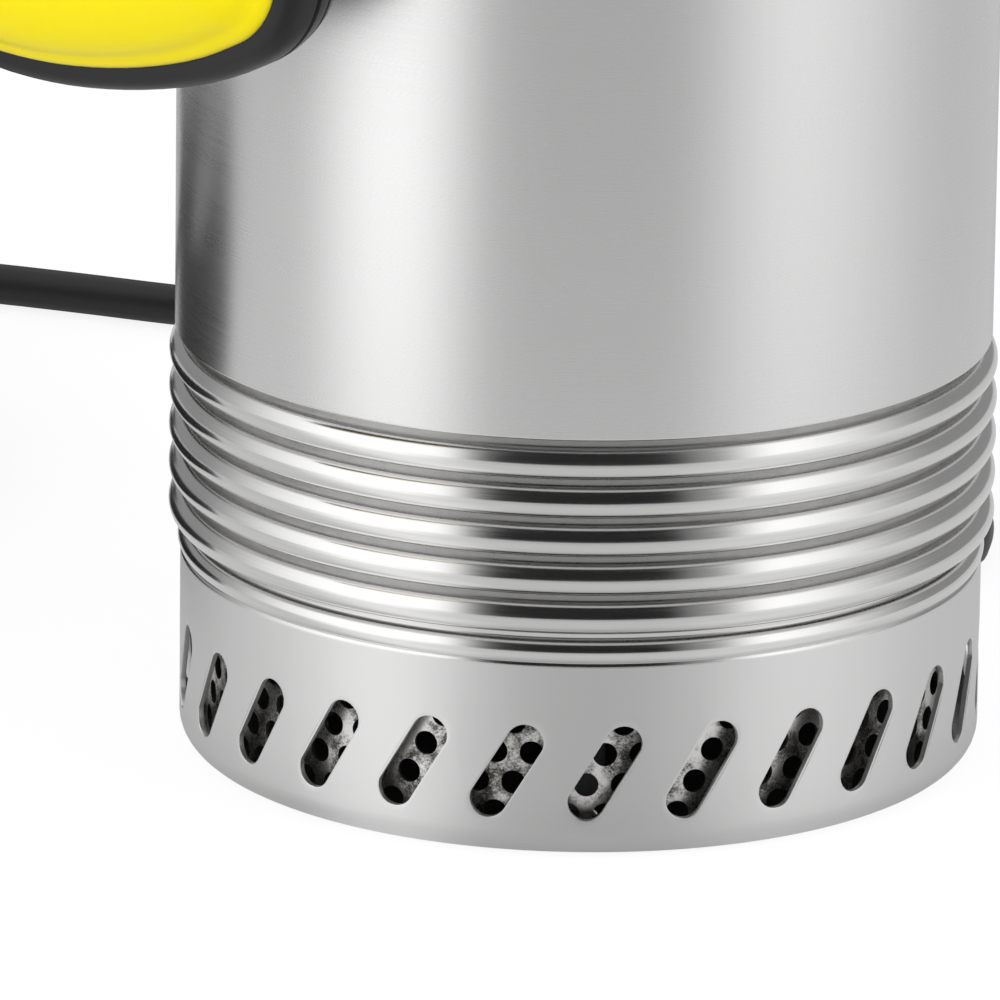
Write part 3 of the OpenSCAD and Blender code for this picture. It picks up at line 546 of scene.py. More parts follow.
@dataclass(frozen=True)
class BrushedSteel(Finish):
    """Sheet brushed round the pump, with fine level streaks."""

    streak: tuple[float, float, float] = (22.0, 22.0, 5200.0)
    band: tuple[float, float, float] = (5.0, 5.0, 160.0)

    def pattern(self, shader: Shader) -> tuple[Flow, Flow]:
        """Lays out the streaks.

        Args:
            shader: the material's shader.

        Returns:
            How light each place is, and how high the fine streaks stand.
        """
        fine = shader.noise(self.streak, 4.0, 0.7)
        wide = shader.noise(self.band, 2.0)
        return shader.spread(fine * 0.7 + wide * 0.3, 0.32, 0.68), fine


@dataclass(frozen=True)
class WeatheredSteel(Finish):
    """Perforated sheet with dark blotches between its holes."""

    dark: tuple[float, float, float] = (0.09, 0.085, 0.075)
    blotch: tuple[float, float, float] = (170.0, 170.0, 170.0)
    speck: tuple[float, float, float] = (2600.0, 2600.0, 2600.0)

    def dim(self) -> tuple[float, ...]:
        """Colour of the blotches."""
        return self.dark

    def pattern(self, shader: Shader) -> tuple[Flow, Flow]:
        """Lays out the blotches.

        Args:
            shader: the material's shader.

        Returns:
            How clean each place is, and how high the metal stands.
        """
        blotch = shader.noise(self.blotch, 4.0, 0.6, 0.2)
        speck = shader.noise(self.speck, 2.0, 0.7)
        return shader.spread(blotch * 0.7 + speck * 0.3, 0.39, 0.58), blotch


FINISHES: dict[str, Finish] = {
    "steel_brushed": BrushedSteel("brushed_steel", (0.77, 0.77, 0.767), 0.28, metallic=1.0,
                                  vary=0.018, shade=0.985, depth=1e-7, anisotropy=0.74),
    "steel_bright": BrushedSteel("bright_steel", (0.80, 0.80, 0.80), 0.14, metallic=1.0,
                                 vary=0.03, shade=0.94, depth=1e-6),
    "steel_weathered": WeatheredSteel("weathered_steel", (0.82, 0.81, 0.79), 0.425,
                                      metallic=1.0, vary=-0.125, depth=3e-5),
    "zinc_steel": Finish("zinc_steel", (0.62, 0.62, 0.60), 0.34, metallic=1.0, vary=0.08,
                         shade=0.8, depth=2e-5),
    "cast_grey": Finish("cast_grey", (0.16, 0.165, 0.17), 0.55, vary=0.08, shade=0.75,
                        depth=1.2e-4),
    "aluminium_cast": Finish("cast_aluminium", (0.66, 0.67, 0.68), 0.42, metallic=1.0,
                             vary=0.08, shade=0.82, depth=8e-5),
    "stage_plastic": Finish("stage_plastic", (0.045, 0.055, 0.06), 0.5, depth=4e-5),
    "impeller_plastic": Finish("impeller_plastic", (0.72, 0.62, 0.40), 0.38, depth=2e-5),
    "black_plastic": Finish("black_plastic", (0.013, 0.013, 0.0135), 0.36, vary=0.05,
                            shade=0.8, depth=1.6e-5, specular=0.32,
                            grain=(2600.0, 2600.0, 2600.0)),
    "yellow_plastic": Finish("yellow_plastic", (1.0, 0.83, 0.0), 0.33, vary=0.02, shade=0.985,
                             specular=0.22, grain=(300.0, 300.0, 300.0)),
    "black_rubber": Finish("black_rubber", (0.014, 0.014, 0.015), 0.5, vary=0.06, shade=0.75,
                           depth=1.5e-5, grain=(1900.0, 1900.0, 1900.0)),
    "ceramic": Finish("ceramic", (0.82, 0.79, 0.72), 0.22),
    "brass": Finish("brass", (0.72, 0.50, 0.20), 0.26, metallic=1.0, vary=0.05, depth=6e-6),
    "copper": Finish("copper_wire", (0.62, 0.26, 0.12), 0.35, metallic=1.0, vary=0.06,
                     shade=0.7, depth=1.5e-4, grain=(700.0, 700.0, 3200.0)),
    "laminations": Finish("laminations", (0.30, 0.31, 0.33), 0.45, metallic=1.0, vary=0.06,
                          shade=0.7, depth=4e-5, grain=(60.0, 60.0, 2600.0)),
    "white_plastic": Finish("white_plastic", (0.80, 0.80, 0.77), 0.34, depth=1e-5),
    "valve_red": Finish("valve_rubber", (0.36, 0.03, 0.02), 0.5, depth=2e-5),
}
SATIN = BrushedSteel("satin_steel", (0.785, 0.785, 0.782), 0.45, metallic=1.0, vary=0.02,
                     shade=0.98, depth=6e-7, anisotropy=0.35)
POLISHED = BrushedSteel("polished_beads", (0.79, 0.785, 0.78), 0.17, metallic=1.0, vary=0.04,
                        shade=0.94, depth=1.2e-6, anisotropy=0.3, streak=(30.0, 30.0, 3000.0))
# Darker steel for the grooves between the beads: painted shade standing for the shade and dark
# reflections in those creases.
GROOVE_SHADE = BrushedSteel("groove_painted_shade", (0.42, 0.418, 0.41), 0.30, metallic=1.0, vary=0.04,
                      shade=0.8, streak=(260.0, 260.0, 900.0))
# Near-black finish laid inside the strainer and the sleeve: painted shade, so the holes and slots
# look dark.
SHADED = Finish("shaded_inside", (0.035, 0.033, 0.03), 0.75, depth=4e-5)


class Wardrobe:
    """Makes each finish once and puts it on pieces."""

    def __init__(self) -> None:
        """Starts with nothing made."""
        self.made: dict[str, bpy.types.Material] = {}

    def get(self, finish: Finish) -> bpy.types.Material:
        """Material of a finish, made when it is first asked for.

        Args:
            finish: the finish.

        Returns:
            The material.
        """
        if finish.name not in self.made:
            self.made[finish.name] = finish.make()
        return self.made[finish.name]

    def dress_nodes(self) -> None:
        """Puts a finish on every solid of the frame, by its slot in the record."""
        for part in frame["record"]["subparts"]:
            material = self.get(FINISHES[part["material_slot"]])
            for held in frame["nodes"][part["node"]].material_slots:
                held.material = material

    def finish(self, obj: bpy.types.Object, slot: str, body: Body = Body.PUMP,
               looks: Sequence[Finish] = ()) -> None:
        """Dresses a new piece and hangs it on its body.

        Args:
            obj: the piece.
            slot: its slot in the record.
            body: the body it rides on.
            looks: its finishes, where they aren't just the slot's own.
        """
        obj.data.materials.clear()
        for finish in looks or (FINISHES[slot],):
            obj.data.materials.append(self.get(finish))
        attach(obj, body.value)
        LOG.info("%s rides on %s in %s", obj.name, body.value, slot)


# ---------------------------------------------------------------- camera and light


@dataclass(frozen=True)
class Glow:
    """How bright round metal finds a part of the studio, by the turn of its wall.

    Turns are in degrees from the front towards +X. Each set of four edges gives where
    a level starts and ends to rise, and where it starts and ends to fall.
    """

    side: float
    front: float
    left: float
    right: float
    front_edges: tuple[float, float, float, float]
    left_edges: tuple[float, float, float, float]
    right_edges: tuple[float, float, float, float]

    @staticmethod
    def between(shader: Shader, turn: Flow,
                edges: tuple[float, float, float, float]) -> Flow:
        """One between the middle edges, falling to nothing at the outer ones."""
        return (shader.spread(turn, edges[0], edges[1])
                * shader.spread(turn, edges[2], edges[3], 1.0, 0.0))

    def level(self, shader: Shader, turn: Flow, ahead: Flow | float = 1.0) -> Flow:
        """Brightness at a turn.

        Args:
            shader: the shader this is for.
            turn: the wall's turn.
            ahead: how much of the front's own level holds.

        Returns:
            The level.
        """
        front = self.between(shader, turn, self.front_edges) * ahead
        left = self.between(shader, turn, self.left_edges)
        right = self.between(shader, turn, self.right_edges)
        return self.side + left * self.left + right * self.right + front * (
            self.front - self.side)


@dataclass
class Studio:
    """Camera, soft boxes, floor and surroundings."""

    distance: float = 2.4
    elevation: float = 16.66
    target: tuple[float, float, float] = (0.0, 0.0, 0.060)
    lens: float = 469.97
    offset: tuple[float, float] = (-0.01495, -0.01453)
    roll: float = 0.75
    wall_radius: float = 0.075
    floor_radius: float = 6.0
    floor_colour: tuple[float, float, float, float] = (0.82, 0.82, 0.82, 1.0)
    floor_white: float = 1.10
    floor_level: float = 0.80
    floor_gloss: float = 0.85
    near_level: float = 0.72
    near_share: float = 0.5
    near_edges: tuple[float, float] = (0.20, 0.33)
    contact_shade: float = 0.70
    contact_edges: tuple[float, float] = (0.070, 0.105)
    room_white: float = 0.80
    room_level: float = 0.68
    brow_edges: tuple[float, float] = (68.0, 76.0)
    floor_glow: Glow = Glow(0.62, 0.51, 0.78, 0.36, (-19.5, -4.3, 8.1, 23.2),
                            (-47.0, -30.0, -27.0, -12.0), (12.0, 31.0, 31.0, 64.0))
    room_glow: Glow = Glow(0.288, 0.016, 1.08, 1.04, (-16.0, -11.0, 12.0, 17.0),
                           (-68.0, -34.0, -20.5, -13.5), (17.0, 28.0, 27.0, 60.0))

    def camera(self) -> None:
        """Places the camera, aimed a little beside and below the beads' middle."""
        rise = math.radians(self.elevation)
        stand = Vector((0.0, -math.cos(rise), math.sin(rise)))
        up = Vector((0.0, math.sin(rise), math.cos(rise)))
        aim = Vector(self.target) + Vector((self.offset[0], 0.0, 0.0)) + up * self.offset[1]
        at = Vector(self.target) + stand * self.distance
        bpy.ops.object.camera_add(location=at)
        camera = bpy.context.object
        camera.name = "camera"
        look = (aim - at).to_track_quat("-Z", "Y").to_matrix().to_4x4()
        camera.matrix_world = Matrix.Translation(at) @ look @ Matrix.Rotation(
            math.radians(self.roll), 4, "Z")
        camera.data.lens = self.lens
        camera.data.sensor_width = 36.0
        camera.data.clip_start = 0.1
        camera.data.clip_end = 50.0
        bpy.context.scene.camera = camera

    def soft_box(self, name: str, azimuth: float, size: tuple[float, float], height: float,
                 radiance: float, distance: float = 1.25) -> None:
        """Stands an upright soft box beside the pump.

        Args:
            name: the lamp's name.
            azimuth: where it stands, in degrees from the front towards +X.
            size: width and height in metres.
            height: height of its middle.
            radiance: how bright its face is.
            distance: how far it stands from the pump.
        """
        turn = math.radians(azimuth)
        at = Vector((math.sin(turn), -math.cos(turn), 0.0)) * distance + Vector((0, 0, height))
        bpy.ops.object.light_add(type="AREA", location=at)
        lamp = bpy.context.object
        lamp.name = name
        lamp.rotation_mode = "QUATERNION"
        lamp.rotation_quaternion = Vector((-at.x, -at.y, 0.0)).to_track_quat("-Z", "Y")
        lamp.data.shape = "RECTANGLE"
        lamp.data.size, lamp.data.size_y = size
        lamp.data.energy = radiance * math.pi * size[0] * size[1]
        lamp.visible_glossy = False

    def floor(self) -> None:
        """Lays a pale floor that stays white in view and keeps a soft shadow."""
        bpy.ops.object.select_all(action="DESELECT")
        bpy.ops.mesh.primitive_circle_add(vertices=96, radius=self.floor_radius,
                                          fill_type="NGON")
        floor = named("floor")
        material = bpy.data.materials.new("pale_floor")
        material.use_nodes = True
        shader = Shader(material.node_tree)
        surface = material.node_tree.nodes["Principled BSDF"]
        surface.inputs["Base Color"].default_value = self.floor_colour
        surface.inputs["Roughness"].default_value = 0.9
        surface.inputs["Specular IOR Level"].default_value = 0.0
        camera, glossy = shader.rays()
        x, y, _ = shader.parts(shader.point())
        away = shader.length(x, y)
        shade = shader.spread(away, *self.contact_edges, self.contact_shade, 1.0)
        turn = shader.degrees(x, -1.0 * y) / (
            2.0 - self.wall_radius / shader.maths("MAXIMUM", away, self.wall_radius))
        far = shader.spread(away, *self.near_edges, self.near_share, 1.0)
        glow = self.near_level + (self.floor_glow.level(shader, turn) - self.near_level) * far
        level = camera * self.floor_white + (1.0 - camera) * shade * glow
        shine = shader.node("ShaderNodeEmission", None, {"Color": level})
        seen = camera * self.floor_level + (1.0 - camera) * glossy * self.floor_gloss
        mixed = shader.node("ShaderNodeMixShader", None, {
            0: seen, 1: Flow(shader, surface.outputs[0]), 2: Flow(shader, shine.outputs[0])})
        output = material.node_tree.nodes["Material Output"]
        shader.feed(output.inputs["Surface"], Flow(shader, mixed.outputs[0]))
        floor.data.materials.append(material)

    def surroundings(self) -> None:
        """Sets a dark front and top, pale sides and back, and white for the camera.

        Each way is lit by the turn and tilt of the wall that sends it to the front.
        """
        world = bpy.data.worlds.new("studio")
        bpy.context.scene.world = world
        world.use_nodes = True
        world.node_tree.nodes.clear()
        shader = Shader(world.node_tree)
        ways = shader.node("ShaderNodeTexCoord").outputs["Generated"]
        x, y, z = shader.parts(Flow(shader, ways))
        rise = math.radians(self.elevation)
        ahead = math.cos(rise) - y
        tilt = shader.degrees(z + math.sin(rise), shader.length(x, ahead))
        below = shader.spread(tilt, *self.brow_edges, 1.0, 0.0)
        level = self.room_glow.level(shader, shader.degrees(x, ahead), below)
        camera, glossy = shader.rays()
        other = (1.0 - camera) * (1.0 - glossy)
        seen = camera * self.room_white + glossy * level + other * self.room_level
        light = shader.node("ShaderNodeBackground", None, {"Color": seen})
        output = shader.node("ShaderNodeOutputWorld")
        shader.feed(output.inputs["Surface"], Flow(shader, light.outputs[0]))

    def light(self) -> None:
        """Sets up all the light."""
        bpy.context.scene.view_settings.view_transform = "Standard"
        self.surroundings()
        self.floor()
        self.soft_box("left_box", azimuth=-41.0, size=(0.80, 1.9), height=0.97, radiance=1.75)
        self.soft_box("right_box", azimuth=63.0, size=(0.95, 1.9), height=0.97, radiance=1.3)


# ---------------------------------------------------------------- the mains cord


@dataclass
class MainsCord:
    """The mains cord from its gland to its plug, its spare length wound in a coil."""

    wardrobe: Wardrobe
    diameter: float = 8.5
    length: float = 10.0
    route: Sequence[tuple[float, float, float]] = (
        (-30, 38, 440), (-30, 38, 446), (-29, 43, 465), (-26, 56, 479), (-21, 75, 484),
        (-16, 94, 479), (-13, 107, 465), (-12, 112, 446), (-12, 114, 415), (-11, 114, 380),
        (-11, 113, 350), (-10, 112, 320), (-9, 111, 290), (-8, 110, 260), (-8, 109, 230),
        (-7, 108, 200), (-6, 107, 170), (-5, 106, 140), (-4, 105, 110), (-2, 104, 80),
        (1, 103, 55), (7, 101, 33), (17, 99, 16), (30, 96, 7), (43, 93, 4.5), (55, 92, 4.5),
        (66, 95, 4.5), (73.4, 103, 4.5), (75.6, 115, 4.5), (75.4, 131, 4.5), (72, 152, 4.5),
        (64, 177, 4.5), (50, 201, 4.5), (30, 220, 4.5), (8, 233, 4.5), (-16, 243, 4.5),
        (-40, 251, 4.5), (-62, 258, 4.5), (-84, 265, 4.5), (-105, 273, 4.5), (-126, 280, 4.5),
        (-148, 284, 4.5), (-170, 285, 4.5), (-192, 281, 4.5), (-214, 273, 4.5),
        (-236, 262, 4.5), (-256, 249, 4.5), (-273, 236, 4.5))
    tail: Sequence[tuple[float, float, float]] = (
        (-136, 92, 49.5), (-137, 104, 49.5), (-138, 116, 51), (-139, 128, 55),
        (-141, 140, 60), (-144, 152, 63.5), (-146, 158, 64), (-148, 164, 64))
    coil_at: tuple[float, float] = (-216.0, 156.0)
    coil_mid: float = 76.5
    columns: int = 4
    floor_gap: float = 2.0
    turns: int = 18
    per_turn: int = 48
    hold: float = 0.5
    climb: float = 0.7
    points_in: int = 8
    points_out: int = 14
    relief_radius: float = 6.6
    relief_ribs: int = 6
    relief_ribbed: float = 30.0
    relief_taper: float = 1.45 / 30.0
    relief_rib: Profile = ((0.0, 0.0), (-0.9, 0.5), (-0.9, 1.5), (-0.15, 2.0))
    plug_neck_rib: Profile = ((0.0, 0.0), (-0.7, 0.4), (-0.7, 1.4), (0.2, 1.8))
    plug_grip_rib: Profile = ((0.0, 0.0), (0.0, 1.4), (-0.5, 1.8), (-0.5, 2.6))

    def _coil(self) -> list[Vector]:
        """Points of the wound turns, from the route's end to the tail's start.

        Each layer winds the other way from the one below. It holds its first column for
        part of a turn, and climbs to the next layer over its last part.

        Returns:
            Points in millimetres.
        """
        centre = Vector((*self.coil_at, 0.0))
        last, first = Vector(self.route[-1]) - centre, Vector(self.tail[0]) - centre
        start = math.atan2(last.y, last.x)
        sweep = (math.atan2(first.y, first.x) - start) % (2 * math.pi) + self.turns * 2 * math.pi
        count = round(sweep / (2 * math.pi) * self.per_turn)
        pitch = self.diameter
        inner = self.coil_mid - (self.columns - 1) * pitch / 2
        low = self.floor_gap + self.diameter / 2
        points = []
        for i in range(2, count - 3):
            turn = i / self.per_turn
            layer, step = divmod(turn, self.columns)
            step -= self.hold
            column = min(max(step, 0.0), self.columns - 1.0)
            rise = max(0.0, step - (self.columns - self.hold - self.climb)) / self.climb
            if layer % 2 == 0:
                column = self.columns - 1.0 - column
            radius = inner + column * pitch
            height = low + (layer + min(rise, 1.0)) * pitch
            for share, end in ((min(1.0, i / self.points_in), last),
                               (min(1.0, (count - i) / self.points_out), first)):
                radius = radius * share + (1 - share) * end.xy.length
                height = height * share + (1 - share) * end.z
            angle = start + turn * 2 * math.pi
            points.append(centre + Vector((radius * math.cos(angle), radius * math.sin(angle),
                                           height)))
        return points

    def build(self) -> None:
        """Makes the cord and what is on it."""
        route = fair([Vector(p) for p in self.route], 4)
        tail = fair([Vector(p) for p in self.tail], 3)
        line = [p * MM for p in (*route, *self._coil(), *tail)]
        curve = bpy.data.curves.new("mains_lead", "CURVE")
        curve.dimensions = "3D"
        spline = curve.splines.new("POLY")
        spline.points.add(len(line) - 1)
        for point, at in zip(spline.points, line):
            point.co = (*at, 1.0)
        curve.bevel_depth = self.diameter * MM / 2
        curve.bevel_resolution = 4
        curve.use_fill_caps = True
        spline.use_smooth = True
        lead = bpy.data.objects.new("mains_lead", curve)
        bpy.context.scene.collection.objects.link(lead)
        self.wardrobe.finish(lead, "black_rubber")
        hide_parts("mains_cord", "cord_coil", "cord_tail")
        plug = self.plug()
        relief = self.relief()
        strap = softened("cord_tie", 0.4)
        self.wardrobe.finish(strap, "black_rubber")

    def relief(self) -> bpy.types.Object:
        """Tapered sleeve with rings, where the cord leaves its gland.

        Returns:
            The sleeve.
        """
        bottom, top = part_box("cord_relief")
        low, high = bottom.z / MM, top.z / MM
        at = ((bottom.x + top.x) / 2 / MM, (bottom.y + top.y) / 2 / MM)
        foot = high - self.relief_ribbed
        first = 1.5
        profile = [(3.0, low), (self.relief_radius, low), (self.relief_radius, foot)]
        profile += ribbed(self.relief_rib, self.relief_ribs, foot + first, 4.0,
                          self.relief_radius - first * self.relief_taper, self.relief_taper)
        profile += [(5.1, high - 0.6), (4.7, high), (3.0, high)]
        sleeve = turned("relief_sleeve", profile, 48, at)
        self.wardrobe.finish(sleeve, "black_rubber")
        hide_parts("cord_relief")
        return sleeve

    def plug(self) -> bpy.types.Object:
        """Rubber plug with a ribbed grip, lying on the coil.

        Returns:
            The plug.
        """
        profile = [(0.0, 0.0), (5.6, 0.0), (6.0, 0.5), (6.6, 5.0)]
        profile += ribbed(self.plug_neck_rib, 3, 5.5, 3.2, 6.7, -0.25 / 3.2)
        profile += [(7.9, 15.8), (9.5, 17.6), (14.4, 20.5), (16.2, 23.6), (17.6, 24.3)]
        profile += ribbed(self.plug_grip_rib, 5, 25.4, 3.0, 18.5)
        profile += [(18.5, 41.0), (18.5, 46.8), (17.6, 48.0), (0.0, 48.0)]
        body = turned("mains_plug", profile, 64, closed=False)
        end, before = Vector(self.tail[-1]), Vector(self.tail[-2])
        way = end - before
        place(body, math.degrees(math.atan2(way.y, way.x)), end * MM, 90.0)
        self.wardrobe.finish(body, "black_rubber")
        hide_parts("plug_body")
        return body


# ---------------------------------------------------------------- jacket and strainer


@dataclass
class Jacket:
    """Rolled steel jacket with five beads near its foot."""

    wardrobe: Wardrobe
    radius: float = 75.0
    wall: float = 1.0
    top: float = 330.0
    valley: float = 73.0
    bead_radius: float = 3.0
    bead_low: float = 45.4
    pitch: float = 7.2
    beads: int = 5
    shoulder: float = 1.6
    lip: float = 64.0
    edge: float = 0.5
    groove_depth: float = 0.12

    @property
    def step(self) -> float:
        """Height of the step over the beads."""
        crest_top = self.bead_low + (self.beads - 1) * self.pitch + self.bead_radius
        return crest_top + self.shoulder

    def profile(self) -> list[tuple[float, float]]:
        """Draws the wall's section, from the top down and back up inside.

        Returns:
            Radius and height of each corner, in millimetres.
        """
        step = self.step
        points = [(self.radius, self.top)]
        points += arc((self.radius - self.edge, step + self.edge), self.edge, 0, -90, 4)
        points += [(self.valley + 0.2, step), (self.valley, step - 0.2)]
        for i in reversed(range(self.beads)):
            z = self.bead_low + i * self.pitch
            points += arc((self.valley, z), self.bead_radius, 90, -90, 20)
        low = self.bead_low - self.bead_radius
        points += [(self.lip, low), (self.lip, low + self.wall),
                   (self.valley - self.wall, low + self.wall),
                   (self.valley - self.wall, step + self.wall),
                   (self.radius - self.wall, step + self.wall + 0.6),
                   (self.radius - self.wall, self.top)]
        return points

    def build(self) -> None:
        """Makes the jacket, its beads brighter than its wall and its grooves darkened with painted
        shade.
        """
        shell = turned("jacket_shell", self.profile(), 288)
        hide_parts("jacket")
        self.wardrobe.finish(shell, "steel_brushed",
                             looks=(FINISHES["steel_brushed"], POLISHED, GROOVE_SHADE))
        # Faces in the grooves take the darker steel as painted shade; the rest of the beads take
        # the polished steel.
        for face in shell.data.polygons:
            if face.center.z < (self.step + self.edge) * MM:
                shade_in_groove = face.center.xy.length < (self.valley + self.groove_depth) * MM
                face.material_index = 2 if shade_in_groove else 1


@dataclass
class Strainer:
    """Steel cup with leaning slots all round."""

    wardrobe: Wardrobe
    radius: float = 73.8
    wall: float = 1.0
    corner: float = 5.0
    wall_top: float = 36.0
    slots: int = 26
    slot_width: float = 6.8
    slot_length: float = 19.6
    lean: float = 31.0
    slot_height: float = 16.2
    slot_turn: float = 3.9
    slot_points: int = 26
    slot_border: float = 1.14
    slot_edge: float = 0.15
    neck: float = 71.9
    bead_height: float = 38.7
    bead_radius: float = 2.4
    top: float = 42.4
    flange: float = 64.0
    sleeve: float = 68.8
    # Height up to which the cup's inside within the sleeve is painted dark as painted shade.
    dark_top: float = 41.0
    screws: int = 4
    screw_circle: float = 50.0
    screw_seat: tuple[float, float, float] = (4.9, 2.7, 3.0)

    def tile(self) -> bpy.types.Object:
        """One flat piece of the wall with a slot in its middle.

        Returns:
            The piece, standing in the XZ plane.
        """
        width = 2 * math.pi * self.radius / self.slots * MM
        middle = Vector((0.0, 0.0, self.slot_height * MM))
        way = Vector((math.sin(math.radians(self.lean)), 0.0, math.cos(math.radians(self.lean))))
        half = (self.slot_length - self.slot_width) / 2 * MM
        bpy.ops.object.select_all(action="DESELECT")
        bpy.ops.mesh.primitive_circle_add(vertices=self.slot_points,
                                          radius=self.slot_width / 2 * MM,
                                          location=middle, rotation=(math.pi / 2, 0.0, 0.0))
        obj = named("strainer_cup")
        open_mesh(obj)
        pick(obj, lambda v: (v.co - middle).dot(way) > 0)
        upper = chosen(obj)
        bpy.ops.transform.translate(value=way * half)
        pick(obj, lambda v: v.index not in upper)
        bpy.ops.transform.translate(value=way * -half)
        bpy.ops.mesh.select_all(action="SELECT")
        bpy.ops.mesh.extrude_region_move(TRANSFORM_OT_translate={"value": ORIGIN})
        bpy.ops.transform.resize(value=(self.slot_border, 1.0, self.slot_border),
                                 center_override=middle)
        ring = chosen(obj)
        low, high = self.corner * MM, self.wall_top * MM
        centre = Vector((0.0, 0.0, (low + high) / 2))
        bpy.ops.mesh.primitive_plane_add(size=1.0, location=centre,
                                         rotation=(math.pi / 2, 0.0, 0.0))
        bpy.ops.transform.resize(value=(width, 1.0, high - low), center_override=centre)
        bpy.ops.mesh.delete(type="ONLY_FACE")
        slot_ends = 2 * self.slot_points
        pick(obj, lambda v: v.index >= slot_ends)
        bpy.ops.mesh.subdivide(number_cuts=6)
        pick(obj, lambda v: v.index in ring or v.index >= slot_ends)
        bpy.ops.mesh.fill(use_beauty=True)
        pick(obj, lambda f: len(f.verts) == 3, Pick.FACES)
        bpy.ops.mesh.subdivide(number_cuts=1)
        close_mesh()
        return obj

    def grow(self, obj: bpy.types.Object, height: float, path: Profile) -> None:
        """Extrudes a round open edge along radii and heights.

        Args:
            obj: the wall, in edit mode.
            height: height of the open edge, in millimetres.
            path: radius and height of each step, the first at the open edge.
        """
        pick(obj, lambda e: e.is_boundary and all(
            abs(v.co.z - height * MM) < 1e-5 for v in e.verts), Pick.EDGES)
        bpy.ops.mesh.select_mode(type="VERT")
        for (r0, z0), (r1, z1) in zip(path, path[1:]):
            bpy.ops.mesh.extrude_region_move(
                TRANSFORM_OT_translate={"value": (0.0, 0.0, (z1 - z0) * MM)})
            bpy.ops.transform.resize(value=(r1 / r0, r1 / r0, 1.0), center_override=ORIGIN)

    def build(self) -> None:
        """Makes the cup and dresses the sleeve in it, painting the cup's inside within the sleeve
        dark as painted shade.
        """
        self.dress_sleeve()
        obj = self.tile()
        width = 2 * math.pi * self.radius / self.slots * MM
        modify(obj, "ARRAY", count=self.slots, use_relative_offset=False,
               use_constant_offset=True, constant_offset_displace=(width, 0.0, 0.0),
               use_merge_vertices=True, merge_threshold=1e-6)
        place(obj, 0.0, (self.radius * MM * math.radians(self.slot_turn), 0.0, 0.0))
        modify(obj, "SIMPLE_DEFORM", deform_method="BEND", deform_axis="Z",
               angle=2 * math.pi)
        place(obj, 0.0, (0.0, -self.radius * MM, 0.0))
        tidy_mesh(obj, 1e-5)
        open_mesh(obj)
        foot = [(self.radius, self.corner)]
        foot += arc((self.radius - self.corner, self.corner), self.corner, 0, -90, 8)[1:]
        foot += [(60.0, 0.0), (50.0, 0.0), (30.0, 0.0), (12.0, 0.0)]
        self.grow(obj, self.corner, foot)
        bpy.ops.mesh.edge_face_add()
        neck = [(self.radius, self.wall_top), (self.radius, self.wall_top + 0.35),
                (self.radius - 0.18, self.wall_top + 0.6),
                (self.radius - 0.35, self.wall_top + 0.8)]
        neck += arc((self.neck, self.bead_height), self.bead_radius, -49, 90, 18)
        neck += [(self.neck, self.top - 0.3), (self.neck - 0.3, self.top),
                 (self.flange, self.top)]
        self.grow(obj, self.wall_top, neck)
        close_mesh()
        tidy_mesh(obj)
        modify(obj, "SOLIDIFY", thickness=self.wall * MM, offset=-1.0, use_even_offset=True)
        self.round_slots(obj)
        self.sink_screws(obj)
        smooth(obj, 40.0)
        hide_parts("strainer_shell")
        self.wardrobe.finish(obj, "steel_brushed", looks=(SATIN, POLISHED, SHADED))
        # The cup's inside within the sleeve takes the near-black finish as painted shade; the neck
        # above the wall takes the polished steel.
        for face in obj.data.polygons:
            middle = face.center
            if (middle.xy.length < self.sleeve * MM
                    and self.wall * 0.9 * MM < middle.z < self.dark_top * MM):
                face.material_index = 2
            elif middle.z > (self.wall_top + 0.4) * MM:
                face.material_index = 1

    def dress_sleeve(self) -> None:
        """Softens the perforated sleeve's holes and paints its inside dark as painted shade."""
        sleeve = softened("filter_sleeve", 0.14, 1)
        self.wardrobe.finish(sleeve, "steel_weathered",
                             looks=(FINISHES["steel_weathered"], SHADED))
        # Inward-facing faces of the sleeve take the near-black finish as painted shade.
        for face in sleeve.data.polygons:
            if face.normal.xy.dot(face.center.xy) < 0.0:
                face.material_index = 1

    def round_slots(self, obj: bpy.types.Object) -> None:
        """Rounds the outer rim of every slot.

        Args:
            obj: the cup with its wall.
        """
        open_mesh(obj)
        reach = (self.slot_length / 2 + 1.0) * MM

        def on_rim(edge: bmesh.types.BMEdge) -> bool:
            """Says whether an edge is on a slot's outer rim.

            Args:
                edge: the edge.

            Returns:
                True where it is.
            """
            middle = (edge.verts[0].co + edge.verts[1].co) / 2
            if abs(middle.z - self.slot_height * MM) > reach or len(edge.link_faces) != 2:
                return False
            if middle.xy.length < (self.radius - self.wall / 2) * MM:
                return False
            out = Vector((middle.x, middle.y, 0.0)).normalized()
            facing = [abs(f.normal.dot(out)) for f in edge.link_faces]
            return max(facing) > 0.8 and min(facing) < 0.5

        count = pick(obj, on_rim, Pick.EDGES)
        LOG.info("rounding %d rim edges", count)
        bpy.ops.mesh.bevel(offset=self.slot_edge * MM, segments=3, affect="EDGES",
                           clamp_overlap=False)
        close_mesh()

    def sink_screws(self, obj: bpy.types.Object) -> None:
        """Sinks the seats of the screws in the cup's floor.

        Args:
            obj: the cup with its wall.
        """
        outer, inner, depth = self.screw_seat
        for i in range(self.screws):
            turn = i * 2 * math.pi / self.screws
            bpy.ops.object.select_all(action="DESELECT")
            bpy.ops.mesh.primitive_cone_add(
                vertices=40, radius1=outer * MM, radius2=inner * MM, depth=depth * MM,
                location=(self.screw_circle * MM * math.cos(turn),
                          self.screw_circle * MM * math.sin(turn), 0.9 * MM))
            cutter = named("cutter")
            modify(obj, "BOOLEAN", operation="DIFFERENCE", object=cutter, solver="EXACT")
            bpy.data.objects.remove(cutter)


# ---------------------------------------------------------------- the float


